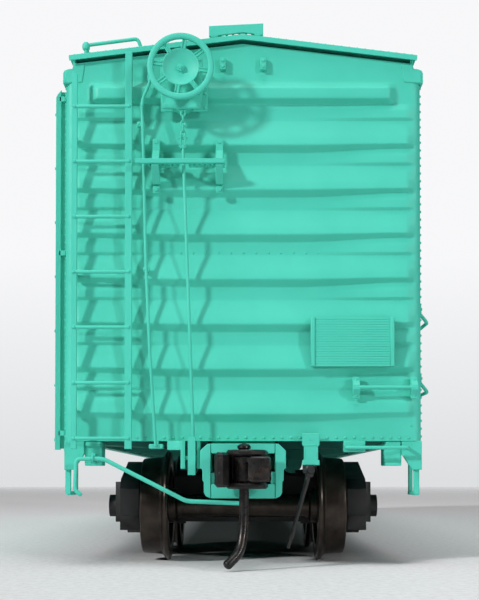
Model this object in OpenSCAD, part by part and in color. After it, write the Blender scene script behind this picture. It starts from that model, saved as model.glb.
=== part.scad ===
// HO scale (1:87) steel boxcar with corrugated ends, sliding doors, sprung couplers and two
// swivelling trucks. Millimetres, +Z up, the brake end faces -Y, the origin is on the floor
// under the middle of the car.

/* [Body] */
// Width over the side sheets
body_w = 33.6; // [30:0.2:38]
// Length over the flat of the end sheets
body_l = 142.4; // [120:0.4:180]
// Height of the lower edge of the sides and ends
body_bottom = 11.7; // [11.5:0.1:12.5]
// Height of the eaves above the lower edge
body_h = 36.3; // [33:0.3:42]
// Rise of the roof from eave to ridge
roof_rise = 2; // [1:0.1:3]
// Thickness of the side and end sheets
wall = 1; // [0.7:0.05:1.3]
// Thickness of the roof sheet
roof_t = 0.55; // [0.4:0.05:0.8]
// Thickness of the floor
floor_t = 1; // [0.8:0.1:1.4]

/* [Ends] */
// Distance between the main corrugations
rib_pitch = 4.24; // [3.8:0.04:4.6]
// Depth of a main corrugation at the middle of the end
rib_depth = 0.7; // [0.4:0.05:0.9]
// Number of main corrugations
rib_count = 7; // [5:1:7]
// Radius of the vertical corners
corner_r = 0.8; // [0.4:0.1:1.2]

/* [Doors] */
// Width of the door opening
door_w = 20.9; // [17:0.1:25]
// Height of the door opening
door_h = 29.6; // [26:0.2:30]
// Thickness of a door leaf
door_t = 0.6; // [0.5:0.05:0.8]
// Running gap around a door leaf
door_gap = 0.15; // [0.1:0.05:0.3]

/* [Trucks] */
// Distance between the truck centres
truck_centres = 107.4; // [96:0.4:140]
// Distance between the axles of a truck
wheelbase = 19.25; // [18:0.25:22]
// Wheel diameter on the tread
wheel_d = 9.63; // [8.4:0.01:10]
// Depth of the flange below the tread
flange_h = 0.64; // [0.4:0.02:0.8]
// Width of a wheel over rim and flange
wheel_w = 2.79; // [2.2:0.01:3]
// Distance between the backs of the wheels
back_to_back = 14.5; // [14.3:0.05:14.7]
// Diameter of the axle between the wheels
axle_d = 2.3; // [1.8:0.1:2.6]
// Diameter of the axle's journals
journal_d = 1.1; // [0.8:0.1:1.4]
// Thickness of a sideframe
frame_t = 1.9; // [1.5:0.1:2.2]
// Clearance round a running pin or journal
run_gap = 0.06; // [0.04:0.01:0.12]

/* [Couplers] */
// Height of the coupler's centre line
coupler_z = 9; // [8.8:0.1:9.4]
// Width of the striker casting
striker_w = 7.9; // [7:0.1:8.4]
// Width of the coupler head
coupler_w = 5; // [4.4:0.1:5.4]
// Diameter of the trip pin
trip_d = 0.85; // [0.6:0.05:1]

/* [Fittings] */
// Diameter of grab irons, rungs and rods
rod_d = 0.34; // [0.3:0.02:0.5]
// Distance between the ladder rungs
rung_pitch = 5.16; // [4.8:0.04:5.2]
// Diameter of the brake wheel
brake_wheel_d = 6.1; // [5:0.1:6.6]
// Width of the running board
board_w = 5.1; // [4:0.1:6]
// Height of the running board above the ridge
board_rise = 1; // [0.8:0.1:1.4]

/* [Hidden] */
$fn = 32;

green = "mediumaquamarine";
black = "dimgray";
eps = 0.01;
bend_swell = 1.08;

half_w = body_w / 2;
half_l = body_l / 2;
eave_z = body_bottom + body_h;
ridge_z = eave_z + roof_rise;
floor_z = body_bottom + 0.8;
floor_top = floor_z + floor_t;
inner_w = half_w - wall;
inner_l = half_l - wall;
// the side sheets stop below the eave, inside the folded edge of the roof
side_top = eave_z - 1.6;
eave_out = 0.2;
roof_half_w = half_w - 0.4;
roof_over = 0.55;
// the running board sits a little to one side of the ridge
board_offset = 0.65;
door_z = floor_top + 0.1;
door_top = door_z + door_h;
door_travel = door_w;

// seam between the upper and lower end sheets, and the corrugations that it splits
seam_z = body_bottom + 17.6;
rib_low = body_bottom + 1.75;
rib_face = 0.74;
rib_rise = 3.28;
rib_top_z = body_bottom + 31.85;
dart_depth = 0.28;

axle_z = wheel_d / 2 + flange_h;
rail_z = flange_h;
frame_x = back_to_back / 2 + wheel_w + 0.3;
journal_x = frame_x + frame_t - 0.5;
cap_x = frame_x + frame_t + 1.2;
truck_y = truck_centres / 2;
plate_z = 8.85;
plate_r = 2.3;
pin_r = 1;

box_front = half_l + 1.8;
box_back = half_l - 5.4;
pivot_y = half_l - 3.2;
head_y = box_front + 1;
head_l = 4.2;
knuckle_x = 0.1;
knuckle_y = head_y + 2;

// fittings on the ends stand on the crests of the corrugations
crest_y = -half_l - rib_depth - 0.02;
side_crest_y = -half_l - rib_depth + 0.1;
ladder_in = 5.05;
ladder_low = body_bottom + 0.2;
stile_t = 0.5;

// a point at distance d along the smooth step from 0 to 1
function step01(t) = let (c = min(1, max(0, t))) c * c * (3 - 2 * c);

// ---------- helpers ----------
module bar(a, b, d) {
    v = b - a;
    len = norm(v);
    translate(a) rotate([0, acos(v[2] / len), atan2(v[1], v[0])]) cylinder(h = len, d = d, $fn = 20);
}

// a bent round rod through a list of points
module rod(pts, d = rod_d) {
    for (i = [0 : len(pts) - 2]) bar(pts[i], pts[i + 1], d);
    for (i = [1 : len(pts) - 2]) translate(pts[i]) sphere(d = bend_swell * d, $fn = 20);
}

// a box from its low and high corners
module block(a, b) {
    translate(a) cube(b - a);
}

// the same child at the other end of the car
module at_both_ends() {
    children();
    rotate([0, 0, 180]) children();
}

// an outline in Y and Z, extruded from x0 to x1
module slab_x(x0, x1) {
    translate([x0, 0, 0]) rotate([90, 0, 90]) linear_extrude(x1 - x0) children();
}

// an outline in X and Z, extruded from y0 to y1
module slab_y(y0, y1) {
    translate([0, y1, 0]) rotate([90, 0, 0]) linear_extrude(y1 - y0) children();
}

// ---------- ends ----------
// height of the end's upper edge at x, following the roof with a thin gap
function end_top(x) = ridge_z - roof_t - 0.3 - roof_rise * abs(x) / half_w;

// share of the way from the straight middle of the ribs to their ends
function rib_edge(x) = step01((abs(x) - 4.6) / (half_w - 5.6));

// 1 on the face of the end, 0 where a rib has run out near the corner
function rib_end(x) = step01((half_w - 0.4 - abs(x)) / 0.6);

// heights and depths of one main rib and the dart above it, from below
function rib_profile(x, z) = let (
    e = rib_edge(x), k = rib_end(x), low = z + 0.45 * e, face = rib_face - 0.28 * e,
    d = (rib_depth - 0.22 * e) * k, top = z + rib_rise, dart = dart_depth * e * k,
    next = z + rib_pitch + 0.45 * e, crest = low + face, run = top - crest)
    [[low, 0], [crest, d], [crest + 0.35 * run, 0.9 * d], [crest + 0.7 * run, 0.46 * d],
     [top, 0], [top + 0.28, dart], [(top + 0.28 + next) / 2, 0.8 * dart]];

// the short rib under the roof has square ends
function top_rib_profile(x) = let (k = rib_depth * step01((half_w - 2.1 - abs(x)) / 1.1))
    [[rib_top_z, 0], [rib_top_z + 0.5, k], [rib_top_z + 1.55, k], [rib_top_z + 2, 0]];

function end_profile(x) = concat(
    [[body_bottom, 0]],
    [for (i = [0 : rib_count - 1]) for (p = rib_profile(x, rib_low + i * rib_pitch)) p],
    top_rib_profile(x),
    [[end_top(x), 0]]);

// how far the corner has turned back from the flat of the end
function corner_back(x) = let (over = max(0, abs(x) - (half_w - corner_r)))
    corner_r - sqrt(max(0, corner_r * corner_r - over * over));

module end_sheet() {
    turn = [for (a = [90, 45, 0]) half_w - corner_r + corner_r * sin(a)];
    run = [half_w - 1, half_w - 2.1, half_w - 3.2, half_w - 8, 4.6, 0];
    right = concat(turn, run);
    cols = concat([for (x = right) -x], [for (i = [len(right) - 2 : -1 : 0]) right[i]]);
    nc = len(cols);
    nr = len(end_profile(0));
    front = [for (x = cols) for (p = end_profile(x)) [x, -half_l + corner_back(x) - p[1], p[0]]];
    // the back is flat and has points only round its edge, in the order left, top, right, bottom
    rim = concat(
        [for (j = [0 : nr - 1]) j],
        [for (i = [1 : nc - 1]) i * nr + nr - 1],
        [for (j = [nr - 2 : -1 : 0]) (nc - 1) * nr + j],
        [for (i = [nc - 2 : -1 : 1]) i * nr]);
    nb = len(rim);
    base = len(front);
    rear = [for (k = rim) [front[k][0], -half_l + wall, front[k][2]]];
    top_left = base + nr - 1;
    bottom_right = base + 2 * nr + nc - 3;
    faces = concat(
        [for (i = [0 : nc - 2]) for (j = [0 : nr - 2])
            [i * nr + j, i * nr + j + 1, (i + 1) * nr + j + 1]],
        [for (i = [0 : nc - 2]) for (j = [0 : nr - 2])
            [i * nr + j, (i + 1) * nr + j + 1, (i + 1) * nr + j]],
        [for (k = [0 : nb - 1]) [rim[k], base + k, base + (k + 1) % nb]],
        [for (k = [0 : nb - 1]) [rim[k], base + (k + 1) % nb, rim[(k + 1) % nb]]],
        // rear: strips between the left and right edges, then fans at the top and the bottom
        [for (j = [1 : nr - 3]) [base + j, bottom_right - j - 1, base + j + 1]],
        [for (j = [1 : nr - 3]) [base + j, bottom_right - j, bottom_right - j - 1]],
        [for (i = [0 : nc - 2]) [top_left - 1, top_left + i + 1, top_left + i]],
        [[top_left - 1, top_left + nc, top_left + nc - 1]],
        [for (i = [0 : nc - 2]) [base + 1, base + (bottom_right - base + i + 1) % nb, bottom_right + i]],
        [[base + 1, bottom_right, bottom_right - 1]]);
    polyhedron(points = concat(front, rear), faces = faces, convexity = 10);
}

module end_brake() {
    color(green) end_sheet();
}

module end_plain() {
    color(green) rotate([0, 0, 180]) end_sheet();
}

// ---------- sides, floor, roof ----------
module side_sheet(sign) {
    x = sign * (inner_w + wall / 2);
    difference() {
        translate([x, 0, (body_bottom + side_top) / 2])
            cube([wall, 2 * inner_l, side_top - body_bottom], center = true);
        translate([x, 0, door_z + door_h / 2]) cube([wall + 1, door_w, door_h], center = true);
    }
    // posts in low relief between the doors and the ends
    for (s = [-1, 1]) for (k = [1 : 4])
        translate([sign * (half_w + 0.04), s * (door_w / 2 + k * (inner_l - door_w / 2) / 5), (body_bottom + side_top) / 2])
            cube([0.08, 0.5, side_top - body_bottom - 2], center = true);
}

module side_left() {
    color(green) side_sheet(-1);
}

module side_right() {
    color(green) side_sheet(1);
}

module floor_deck() {
    color(green) block([-inner_w, -inner_l, floor_z], [inner_w, inner_l, floor_top]);
}

// half of the roof's section: outside first, then the inside given by its own points
module roof_half(inside, lift = 0) {
    polygon(concat([
        [0, ridge_z + lift], [roof_half_w, eave_z + lift], [half_w + eave_out / 2, eave_z - 0.9],
        [half_w + eave_out, eave_z - 1.5], [half_w + eave_out, eave_z - 2.5], [half_w, eave_z - 2.5]],
        inside, [[0, ridge_z - roof_t]]));
}

module roof_outline(inside, lift = 0) {
    roof_half(inside, lift);
    mirror([1, 0]) roof_half(inside, lift);
}

roof_seat = [[half_w, side_top], [inner_w, side_top], [inner_w, eave_z - roof_t - 0.5]];
roof_lap = [[half_w, eave_z - 0.75], [half_w - 0.3, eave_z - 0.5]];

module roof() {
    panels = 12;
    color(green) {
        slab_y(-half_l - roof_over, half_l + roof_over) roof_outline(roof_lap);
        slab_y(-inner_l, inner_l) roof_outline(roof_seat);
        // caps over the seams between the roof panels
        for (i = [1 : panels - 1]) translate([0, -half_l + i * body_l / panels, 0]) slab_y(-0.3, 0.3)
            polygon([[0, ridge_z + 0.22], [roof_half_w - 0.3, eave_z + 0.22], [roof_half_w - 0.1, eave_z],
                     [0, ridge_z - 0.1], [-roof_half_w + 0.1, eave_z], [-roof_half_w + 0.3, eave_z + 0.22]]);
    }
}

module running_board() {
    top = ridge_z + board_rise;
    low = top - 0.5;
    x0 = -board_w / 2 - board_offset;
    x1 = board_w / 2 - board_offset;
    color(green) {
        block([x0, -half_l - roof_over, low], [x1, half_l + roof_over, top]);
        for (i = [0 : 12]) {
            y = -half_l - roof_over + 0.25 + i * (body_l + 2 * roof_over - 0.5) / 12;
            slab_y(y - 0.25, y + 0.25) difference() {
                translate([x0 + 0.2, ridge_z - 0.5]) square([board_w - 0.4, low - ridge_z + 0.5 + eps]);
                roof_outline(roof_lap, 0.22);
            }
        }
        // braces from the board's overhanging ends down to the end sheets
        for (e = [0, 1]) mirror([0, e, 0]) for (x = [-1.9, 1.9]) {
            block([x - 0.3, -half_l - roof_over - 0.25, ridge_z - 3.2], [x + 0.3, -half_l - roof_over, low + eps]);
            block([x - 0.3, -half_l - roof_over - eps, ridge_z - 3.2], [x + 0.3, -half_l - eps, ridge_z - 2.6]);
        }
    }
}

// ---------- underframe ----------
module center_sill() {
    color(green) difference() {
        block([-2.6, -box_back + eps, floor_z - 2.8], [2.6, box_back - eps, floor_z]);
        block([-1.9, -box_back + 1, floor_z - 3], [1.9, -truck_y - 4, floor_z - 0.6]);
        block([-1.9, -truck_y + 4, floor_z - 3], [1.9, truck_y - 4, floor_z - 0.6]);
        block([-1.9, truck_y + 4, floor_z - 3], [1.9, box_back - 1, floor_z - 0.6]);
        for (s = [-1, 1]) translate([0, s * truck_y, floor_z - 4]) cylinder(r = pin_r, h = 6);
    }
}

// a tapered beam across the floor, from the sill to the side sheet
module cross_beam(y, t, deep) {
    for (s = [0, 1]) mirror([s, 0, 0]) slab_y(y - t / 2, y + t / 2)
        polygon([[2.6, floor_z], [2.6, floor_z - deep], [inner_w, floor_z - 0.7], [inner_w, floor_z]]);
}

module body_bolsters() {
    color(green) for (s = [-1, 1]) {
        cross_beam(s * truck_y, 3, 1.3);
        translate([0, s * truck_y, 0]) {
            difference() {
                translate([0, 0, plate_z]) cylinder(r = plate_r, h = floor_z - 2.8 - plate_z);
                translate([0, 0, plate_z - 1]) cylinder(r = pin_r, h = 4);
            }
            // the screw that the truck swivels on
            translate([0, 0, plate_z - 3.1]) cylinder(r = pin_r, h = floor_z - plate_z + 3.1);
            translate([0, 0, plate_z - 3.7]) cylinder(r = 1.8, h = 0.6);
        }
    }
}

module crossbearers() {
    color(green) {
        for (y = [-0.27, -0.09, 0.09, 0.27]) cross_beam(y * truck_centres, 0.8, 2.2);
        // stringers along the floor
        for (x = [-10, -6.5, 6.5, 10]) for (k = [-1 : 1])
            block([x - 0.25, k * 0.18 * truck_centres - 0.09 * truck_centres + 0.4, floor_z - 0.6],
                  [x + 0.25, k * 0.18 * truck_centres + 0.09 * truck_centres - 0.4, floor_z]);
    }
}

module weight_plate() {
    color("slategray") block([-inner_w + 3, -inner_l + 9, floor_top], [inner_w - 3, inner_l - 9, floor_top + 1.2]);
}

// ---------- doors ----------
module door_leaf(sign) {
    lap = 0.7;
    x0 = half_w + door_gap;
    w = door_w / 2 + lap;
    z0 = door_z - 0.5;
    z1 = door_top + 0.4;
    rotate([0, 0, sign < 0 ? 180 : 0]) {
        block([x0, -w, z0], [x0 + door_t - 0.2, w, z1]);
        // frame and the pressed ribs of the leaf
        for (y = [-w, w - 0.6, -0.3]) block([x0 + 0.1, y, z0], [x0 + door_t, y + 0.6, z1]);
        for (i = [0 : 14]) {
            z = z0 + i * (z1 - z0 - 0.5) / 14;
            block([x0 + 0.1, -w, z], [x0 + door_t - 0.05, w, z + 0.5]);
        }
        // handle
        block([x0 + door_t - 0.1, w - 3.4, z0 + 10], [x0 + door_t + 0.25, w - 3, z0 + 12.4]);
    }
}

module door_left() {
    color(green) door_leaf(-1);
}

module door_right() {
    color(green) door_leaf(1);
}

module door_tracks(sign) {
    x0 = half_w + 0.08;
    x1 = half_w + door_gap + door_t + 0.35;
    lap = 0.7;
    y0 = -door_w / 2 - lap - 0.8;
    y1 = door_w / 2 + lap + door_travel + 0.8;
    z0 = door_z - 0.5 - door_gap;
    z1 = door_top + 0.4 + door_gap;
    rotate([0, 0, sign < 0 ? 180 : 0]) {
        block([x0, y0, z0 - 0.4], [x1, y1, z0]);
        block([x1 - 0.25, y0, z0 - 0.4], [x1, y1, z0 + 0.35]);
        block([x0, y0, z1], [x1, y1, z1 + 0.4]);
        block([x1 - 0.25, y0, z1 - 0.5], [x1, y1, z1 + 0.4]);
    }
}

module door_tracks_left() {
    color(green) door_tracks(-1);
}

module door_tracks_right() {
    color(green) door_tracks(1);
}

// ---------- ladders and grab irons ----------
// a ladder in a plane of constant distance: u runs along it, v is away from the wall
module ladder_end() {
    y0 = -half_l - 1.35;
    xo = -half_w + 1.1;
    xi = xo + ladder_in;
    block([xo - stile_t / 2, y0, ladder_low - 1], [xo + stile_t / 2, y0 + 0.3, eave_z - 1.8]);
    block([xi - 0.32, y0, ladder_low - 1], [xi + 0.32, y0 + 0.3, eave_z]);
    for (i = [0 : 6]) bar([xo, y0 + 0.15, ladder_low + i * rung_pitch], [xi, y0 + 0.15, ladder_low + i * rung_pitch], rod_d);
    // feet that stand the ladder off the end sheet
    for (x = [xo, xi]) for (i = [0, 3, 6])
        block([x - 0.25, y0 + 0.2, rib_low + i * rib_pitch + rib_face],
              [x + 0.25, side_crest_y, rib_low + i * rib_pitch + rib_face + 0.5]);
}

module end_ladders() {
    color(green) at_both_ends() ladder_end();
}

module ladder_side() {
    x0 = -half_w - 0.97;
    ya = -half_l + 0.9;
    yb = ya + ladder_in;
    for (y = [ya, yb]) {
        block([x0, y - stile_t / 2, ladder_low - 1], [x0 + 0.5, y + stile_t / 2, eave_z - 3]);
        for (z = [ladder_low + 0.3, seam_z, eave_z - 4])
            block([x0 + 0.3, y - 0.25, z], [-half_w, y + 0.25, z + 0.5]);
    }
    for (i = [0 : 6]) bar([x0 + 0.25, ya, ladder_low - 0.05 + i * rung_pitch], [x0 + 0.25, yb, ladder_low - 0.05 + i * rung_pitch], rod_d);
}

module side_ladders() {
    color(green) at_both_ends() ladder_side();
}

module side_grabs() {
    color(green) at_both_ends() for (z = [body_bottom + 5, body_bottom + 11.6])
        rod([[half_w + 0.1, -half_l + 1.4, z + 0.6], [half_w + 0.75, -half_l + 1.4, z - 0.3],
             [half_w + 0.75, -half_l + 6, z - 0.3], [half_w + 0.1, -half_l + 6, z + 0.6]]);
}

module end_grabs() {
    y0 = -half_l - 1.2;
    z0 = body_bottom + 4.95;
    zl = body_bottom - 0.65;
    color(green) at_both_ends() {
        for (x = [half_w - 6.25, half_w - 0.85])
            block([x - 0.33, y0 - 0.15, z0 - 1], [x + 0.33, side_crest_y, z0 + 1]);
        bar([half_w - 6.25, y0, z0], [half_w - 0.85, y0, z0], rod_d);
        block([half_w - 7.4, y0 + 0.4, zl - 0.4], [half_w - 5.4, -half_l + wall, body_bottom]);
        rod([[half_w - 7.2, y0 + 0.2, zl], [half_w - 1.4, y0 + 0.2, zl], [half_w - 1.4, -half_l + 0.05, zl]]);
        bar([half_w - 7.2, y0 + 0.2, zl], [half_w - 7.2, y0 + 0.8, zl], rod_d);
    }
}

module roof_grabs() {
    y0 = -half_l + 0.45;
    function roof_at(x) = ridge_z - roof_rise * abs(x) / roof_half_w;
    color(green) at_both_ends() {
        translate([-half_w + 1.9, y0, roof_at(-half_w + 1.9)]) cylinder(d = 0.7, h = 1.45);
        rod([[-half_w + 1.95, y0, roof_at(-half_w + 1.9) + 1.15], [-half_w + 6.8, y0, roof_at(-half_w + 6.8) + 1.15],
             [-half_w + 7.2, y0, roof_at(-half_w + 7.2) + 0.02]]);
        rod([[-half_w + 1.9, y0 + 0.05, roof_at(-half_w + 1.9) + 0.85], [-half_w + 1.9, y0 + 4.6, roof_at(-half_w + 1.9) + 0.85],
             [-half_w + 1.9, y0 + 5, roof_at(-half_w + 1.9) + 0.02]]);
    }
}

// ---------- brake gear on the end ----------
brake_x = -5.7;
brake_z = eave_z - 2.25;
brake_y = -half_l - 3.2;

module brake_wheel() {
    r = brake_wheel_d / 2;
    color(green) translate([brake_x, brake_y, brake_z]) rotate([90, 0, 0]) {
        translate([0, 0, 0.35]) rotate_extrude() translate([r - 0.25, 0]) circle(d = 0.5, $fn = 20);
        // dished hub
        cylinder(r = 0.52 * r, h = 0.2);
        cylinder(r = 0.2, h = 0.45);
        for (k = [0 : 7]) rotate([0, 0, k * 45 - 8.5]) translate([0.4 * r, -0.22, 0.05])
            cube([0.55 * r, 0.44, 0.4]);
        translate([0, 0, -1.25]) cylinder(r = 0.35, h = 1.3);
    }
}

module brake_housing() {
    color(green) difference() {
        union() {
            block([brake_x - 1.95, -half_l - 1.95, brake_z - 3.3], [brake_x + 1.95, crest_y, brake_z + 1.3]);
            block([brake_x - 2, -half_l - 1.05, brake_z - 3.3], [brake_x + 2.4, crest_y, brake_z + 0.5]);
        }
        // hollow behind the front plate, open below
        block([brake_x - 1.5, -half_l - 1.65, brake_z - 4], [brake_x + 1.5, -half_l - 0.95, brake_z - 0.7]);
    }
}

module brake_chain() {
    top = brake_z - 3.4;
    color(green) {
        for (i = [0 : 3]) translate([brake_x + 0.12, -half_l - 1.6, top - 0.3 - i * 0.62])
            rotate([90, 0, i % 2 * 90]) rotate_extrude() translate([0.2, 0]) circle(d = 0.2, $fn = 16);
        bar([brake_x + 0.12, -half_l - 1.6, top + 0.1], [brake_x + 0.12, -half_l - 1.6, top - 0.25], 0.2);
        block([brake_x - 0.25, -half_l - 1.85, top - 3.6], [brake_x + 0.5, -half_l - 1.35, top - 2.2]);
    }
}

module brake_rod() {
    color(green) rod([[brake_x + 0.12, -half_l - 1.6, brake_z - 7],
                      [brake_x + 0.6, -half_l - 1.35, body_bottom + 14],
                      [brake_x + 1.1, -half_l - 1.35, body_bottom + 0.35]], 0.32);
}

module bell_crank() {
    x = brake_x + 0.95;
    y = -half_l - 1.35;
    color(green) {
        // bracket under the end sheet, two hanger plates, and the crank with its jaw between them
        block([x - 2.3, y + 0.5, body_bottom - 0.85], [x - 1, -half_l + wall, body_bottom - eps]);
        block([x - 1.05, y + 0.35, body_bottom - 2.6], [x - 0.65, -half_l + wall, body_bottom - eps]);
        block([x - 0.35, y - 0.2, body_bottom - 3.2], [x + 0.35, y + 0.4, body_bottom + 0.3]);
        block([x + 0.45, y + 0.35, body_bottom - 2.6], [x + 0.75, -half_l + wall, body_bottom - eps]);
        bar([x - 0.9, y + 0.7, body_bottom - 1.6], [x + 0.6, y + 0.7, body_bottom - 1.6], 0.4);
        block([x - 0.2, y + 0.2, body_bottom - 1.9], [x + 0.2, -half_l + wall, body_bottom - 1.3]);
    }
}

module retainer_pipe() {
    y = -half_l - 1.15;
    pts = [[-8.9, y, eave_z - 2.3], [-8.9, y, eave_z - 3], [-9.5, y, eave_z - 4.6], [-9.3, y, eave_z - 9.3],
           [-9.05, y, seam_z - 1], [-8.7, y, body_bottom + 8.8], [-8.1, y, body_bottom - 0.5]];
    color(green) {
        rod(pts, 0.3);
        block([-9.9, y - 0.05, eave_z - 7], [-9.2, crest_y, eave_z - 6.5]);
        block([-9.3, y - 0.05, seam_z - 1.9], [-8.7, crest_y, seam_z - 1.4]);
        block([-8.75, y + 0.1, body_bottom - 0.75], [-7.45, -half_l + wall, body_bottom - 0.3]);
        block([-8.3, -half_l - 0.5, body_bottom - 0.75], [-7.9, -half_l + wall, body_bottom]);
        // retainer valve beside the brake gear
        block([-9.25, y - 0.1, eave_z - 2.6], [-8.55, crest_y, eave_z - 1.9]);
    }
}

module brake_step() {
    z = eave_z - 10.4;
    color(green) {
        // board, notched for the brake rod and the retainer pipe
        difference() {
            block([-9.95, -half_l - 2.6, z - 0.22], [-1.65, -half_l - 0.95, z + 0.22]);
            block([brake_x - 0.2, -half_l - 1.95, z - 1], [brake_x + 0.6, -half_l, z + 1]);
            block([-9.75, -half_l - 1.45, z - 1], [-8.85, -half_l, z + 1]);
        }
        for (x = [-8.1, -2.2]) slab_x(x - 0.35, x + 0.35) polygon([
            [crest_y, z + 1.6], [crest_y - 0.3, z + 1.6], [-half_l - 2.4, z - 0.1], [-half_l - 2.4, z - 0.4],
            [crest_y - 0.3, z - 2.6], [crest_y, z - 2.6], [crest_y, z - 1.7], [-half_l - 1.9, z - 0.45],
            [crest_y, z - 0.45]]);
    }
}

module tack_boards() {
    z = body_bottom + 6.9;
    color(green) at_both_ends() {
        block([6.3, crest_y - 0.35, z], [14.1, crest_y, z + 4.6]);
        for (x = [6.3, 13.7]) block([x, crest_y - 0.47, z], [x + 0.4, crest_y, z + 4.6]);
    }
}

module corner_irons() {
    color(green) at_both_ends() for (s = [-1, 1]) {
        // push-pole pocket plate at the foot of each corner
        slab_y(-half_l + 0.05, -half_l + 0.95) polygon([
            [s * half_w, body_bottom], [s * half_w, body_bottom - 2.7], [s * (half_w - 0.9), body_bottom - 2.7],
            [s * (half_w - 1.9), body_bottom - 1.2], [s * (half_w - 1.9), body_bottom]]);
        block([s > 0 ? half_w - 3.5 : -half_w + 1.9, -half_l + 0.3, body_bottom - 2.3],
              [s > 0 ? half_w - 1.9 : -half_w + 3.5, -half_l + 3, body_bottom]);
    }
}

module stirrup_steps() {
    x = half_w - 0.4;
    color(green) at_both_ends() for (s = [-1, 1]) for (y = [-half_l + 0.65, -half_l + 4.65]) {
        block([s * x - 0.2, y - 0.25, body_bottom - 5.1], [s * x + 0.2, y + 0.25, body_bottom - (y < -half_l + 1 ? 2.7 : 0)]);
        block([s * x - 0.2, -half_l + 0.4, body_bottom - 5.1], [s * x + 0.2, -half_l + 4.9, body_bottom - 4.75]);
    }
}

module cut_levers() {
    y = -half_l - 1.6;
    z = body_bottom - 1.7;
    color(green) at_both_ends() {
        rod([[-15, y, z - 3.3], [-15.5, y, z - 2.9], [-15.4, y, z], [-12.9, y, z], [-5.2, y - 0.4, z - 3.9],
             [-0.2, y - 0.4, z - 4.1]], 0.4);
        block([-14.1, y + 0.1, z - 0.5], [-13.6, -half_l + 0.3, z + 0.55]);
    }
}

module air_hoses() {
    y = -half_l - 0.9;
    color(black) at_both_ends() {
        // angle cock, hose and the glad hand at its end
        translate([6.15, y + 0.1, body_bottom - 3.4]) cylinder(d = 0.95, h = 1.1);
        rod([[6.1, y + 0.1, body_bottom - 3.2], [5.75, y, body_bottom - 4.4], [4.55, y - 0.2, body_bottom - 8.7],
             [4.2, y - 0.2, body_bottom - 10]], 0.42);
    }
}

module hose_brackets() {
    y = -half_l - 0.9;
    color(green) at_both_ends() {
        block([5.6, y, body_bottom - 2.3], [7.1, y + 0.5, body_bottom + 0.7]);
        block([5.9, y + 0.4, body_bottom - 2.2], [6.8, -half_l + wall, body_bottom - 0.01]);
    }
}

// ---------- couplers ----------
module striker_outline(grow = 0) {
    w = striker_w / 2 + grow;
    top = coupler_z + 2.4 + grow;
    polygon([[-w + 1, top], [w - 1, top], [w, top - 0.75], [w, coupler_z - 0.6], [w - 0.6, coupler_z - 1.3],
             [w - 0.85, coupler_z - 2.65 - grow], [-w + 0.85, coupler_z - 2.65 - grow],
             [-w + 0.6, coupler_z - 1.3], [-w, coupler_z - 0.6], [-w, top - 0.75]]);
}

module coupler_box() {
    difference() {
        union() {
            slab_y(-box_front, -half_l + wall + 0.4) striker_outline();
            block([-3.4, -half_l + wall, coupler_z - 1.9], [3.4, -box_back, floor_z]);
        }
        block([-2.95, -box_front - 1, coupler_z - 1.35], [2.95, -box_back - 0.6, coupler_z + 1.5]);
    }
    // post that the coupler swings on
    translate([0, -pivot_y, coupler_z - 1.36]) cylinder(r = 0.75, h = 2.87);
}

module coupler_box_brake() {
    color(green) coupler_box();
}

module coupler_box_plain() {
    color(green) rotate([0, 0, 180]) coupler_box();
}

// shank, pivot eye and the cast head with its guard arm on the left
module coupler_head() {
    w = coupler_w / 2;
    difference() {
        union() {
            translate([0, -pivot_y, coupler_z - 0.6]) cylinder(r = 1.3, h = 1.2);
            block([-1, -head_y, coupler_z - 0.6], [1, -pivot_y, coupler_z + 0.6]);
            block([-w, -head_y - 1.3, coupler_z - 1.5], [w - 0.4, -head_y, coupler_z + 1.5]);
            slab_z(coupler_z - 1.5, coupler_z + 1.5)
                polygon([[-w, -head_y - 1], [-w, -head_y - head_l], [-w + 0.7, -head_y - head_l],
                         [-w + 1.5, -head_y - 1]]);
            for (z = [coupler_z - 1.75, coupler_z + 1.25])
                block([-0.9, -knuckle_y - 0.9, z], [1.3, -head_y, z + 0.5]);
        }
        translate([0, -pivot_y, coupler_z - 2]) cylinder(r = 0.75 + run_gap, h = 4);
        translate([knuckle_x, -knuckle_y, coupler_z - 3]) cylinder(d = trip_d + 2 * run_gap, h = 6);
        // pocket that the knuckle turns in
        translate([knuckle_x, -knuckle_y, coupler_z - 1.15]) cylinder(r = 1.15, h = 2.3);
    }
}

module slab_z(z0, z1) {
    translate([0, 0, z0]) linear_extrude(z1 - z0) children();
}

module coupler_brake() {
    color(black) coupler_head();
}

module coupler_plain() {
    color(black) rotate([0, 0, 180]) coupler_head();
}

// the knuckle with the trip pin that hangs from it
module knuckle() {
    difference() {
        union() {
            translate([knuckle_x, -knuckle_y, coupler_z - 1.1]) cylinder(r = 0.95, h = 2.2);
            slab_z(coupler_z - 1.1, coupler_z + 1.1)
                polygon([[knuckle_x, -knuckle_y - 0.85], [knuckle_x + 0.6, -knuckle_y + 0.2], [2.2, -knuckle_y - 0.3],
                         [2.5, -knuckle_y - 1.1], [2.3, -head_y - head_l], [0.9, -head_y - head_l - 0.2],
                         [0.3, -head_y - head_l + 0.2], [1.3, -knuckle_y - 1.3]]);
        }
    }
    translate([knuckle_x, -knuckle_y, coupler_z - 2.2]) cylinder(d = trip_d, h = 4.5);
    rod([[knuckle_x, -knuckle_y, coupler_z - 2], [knuckle_x, -knuckle_y, coupler_z - 4.2],
         [knuckle_x - 0.1, -knuckle_y - 0.25, coupler_z - 5.7], [knuckle_x - 0.45, -knuckle_y - 0.75, coupler_z - 7],
         [knuckle_x - 1.4, -knuckle_y - 1.5, coupler_z - 7.95]], trip_d);
}

module knuckle_brake() {
    color(black) knuckle();
}

module knuckle_plain() {
    color(black) rotate([0, 0, 180]) knuckle();
}

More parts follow.
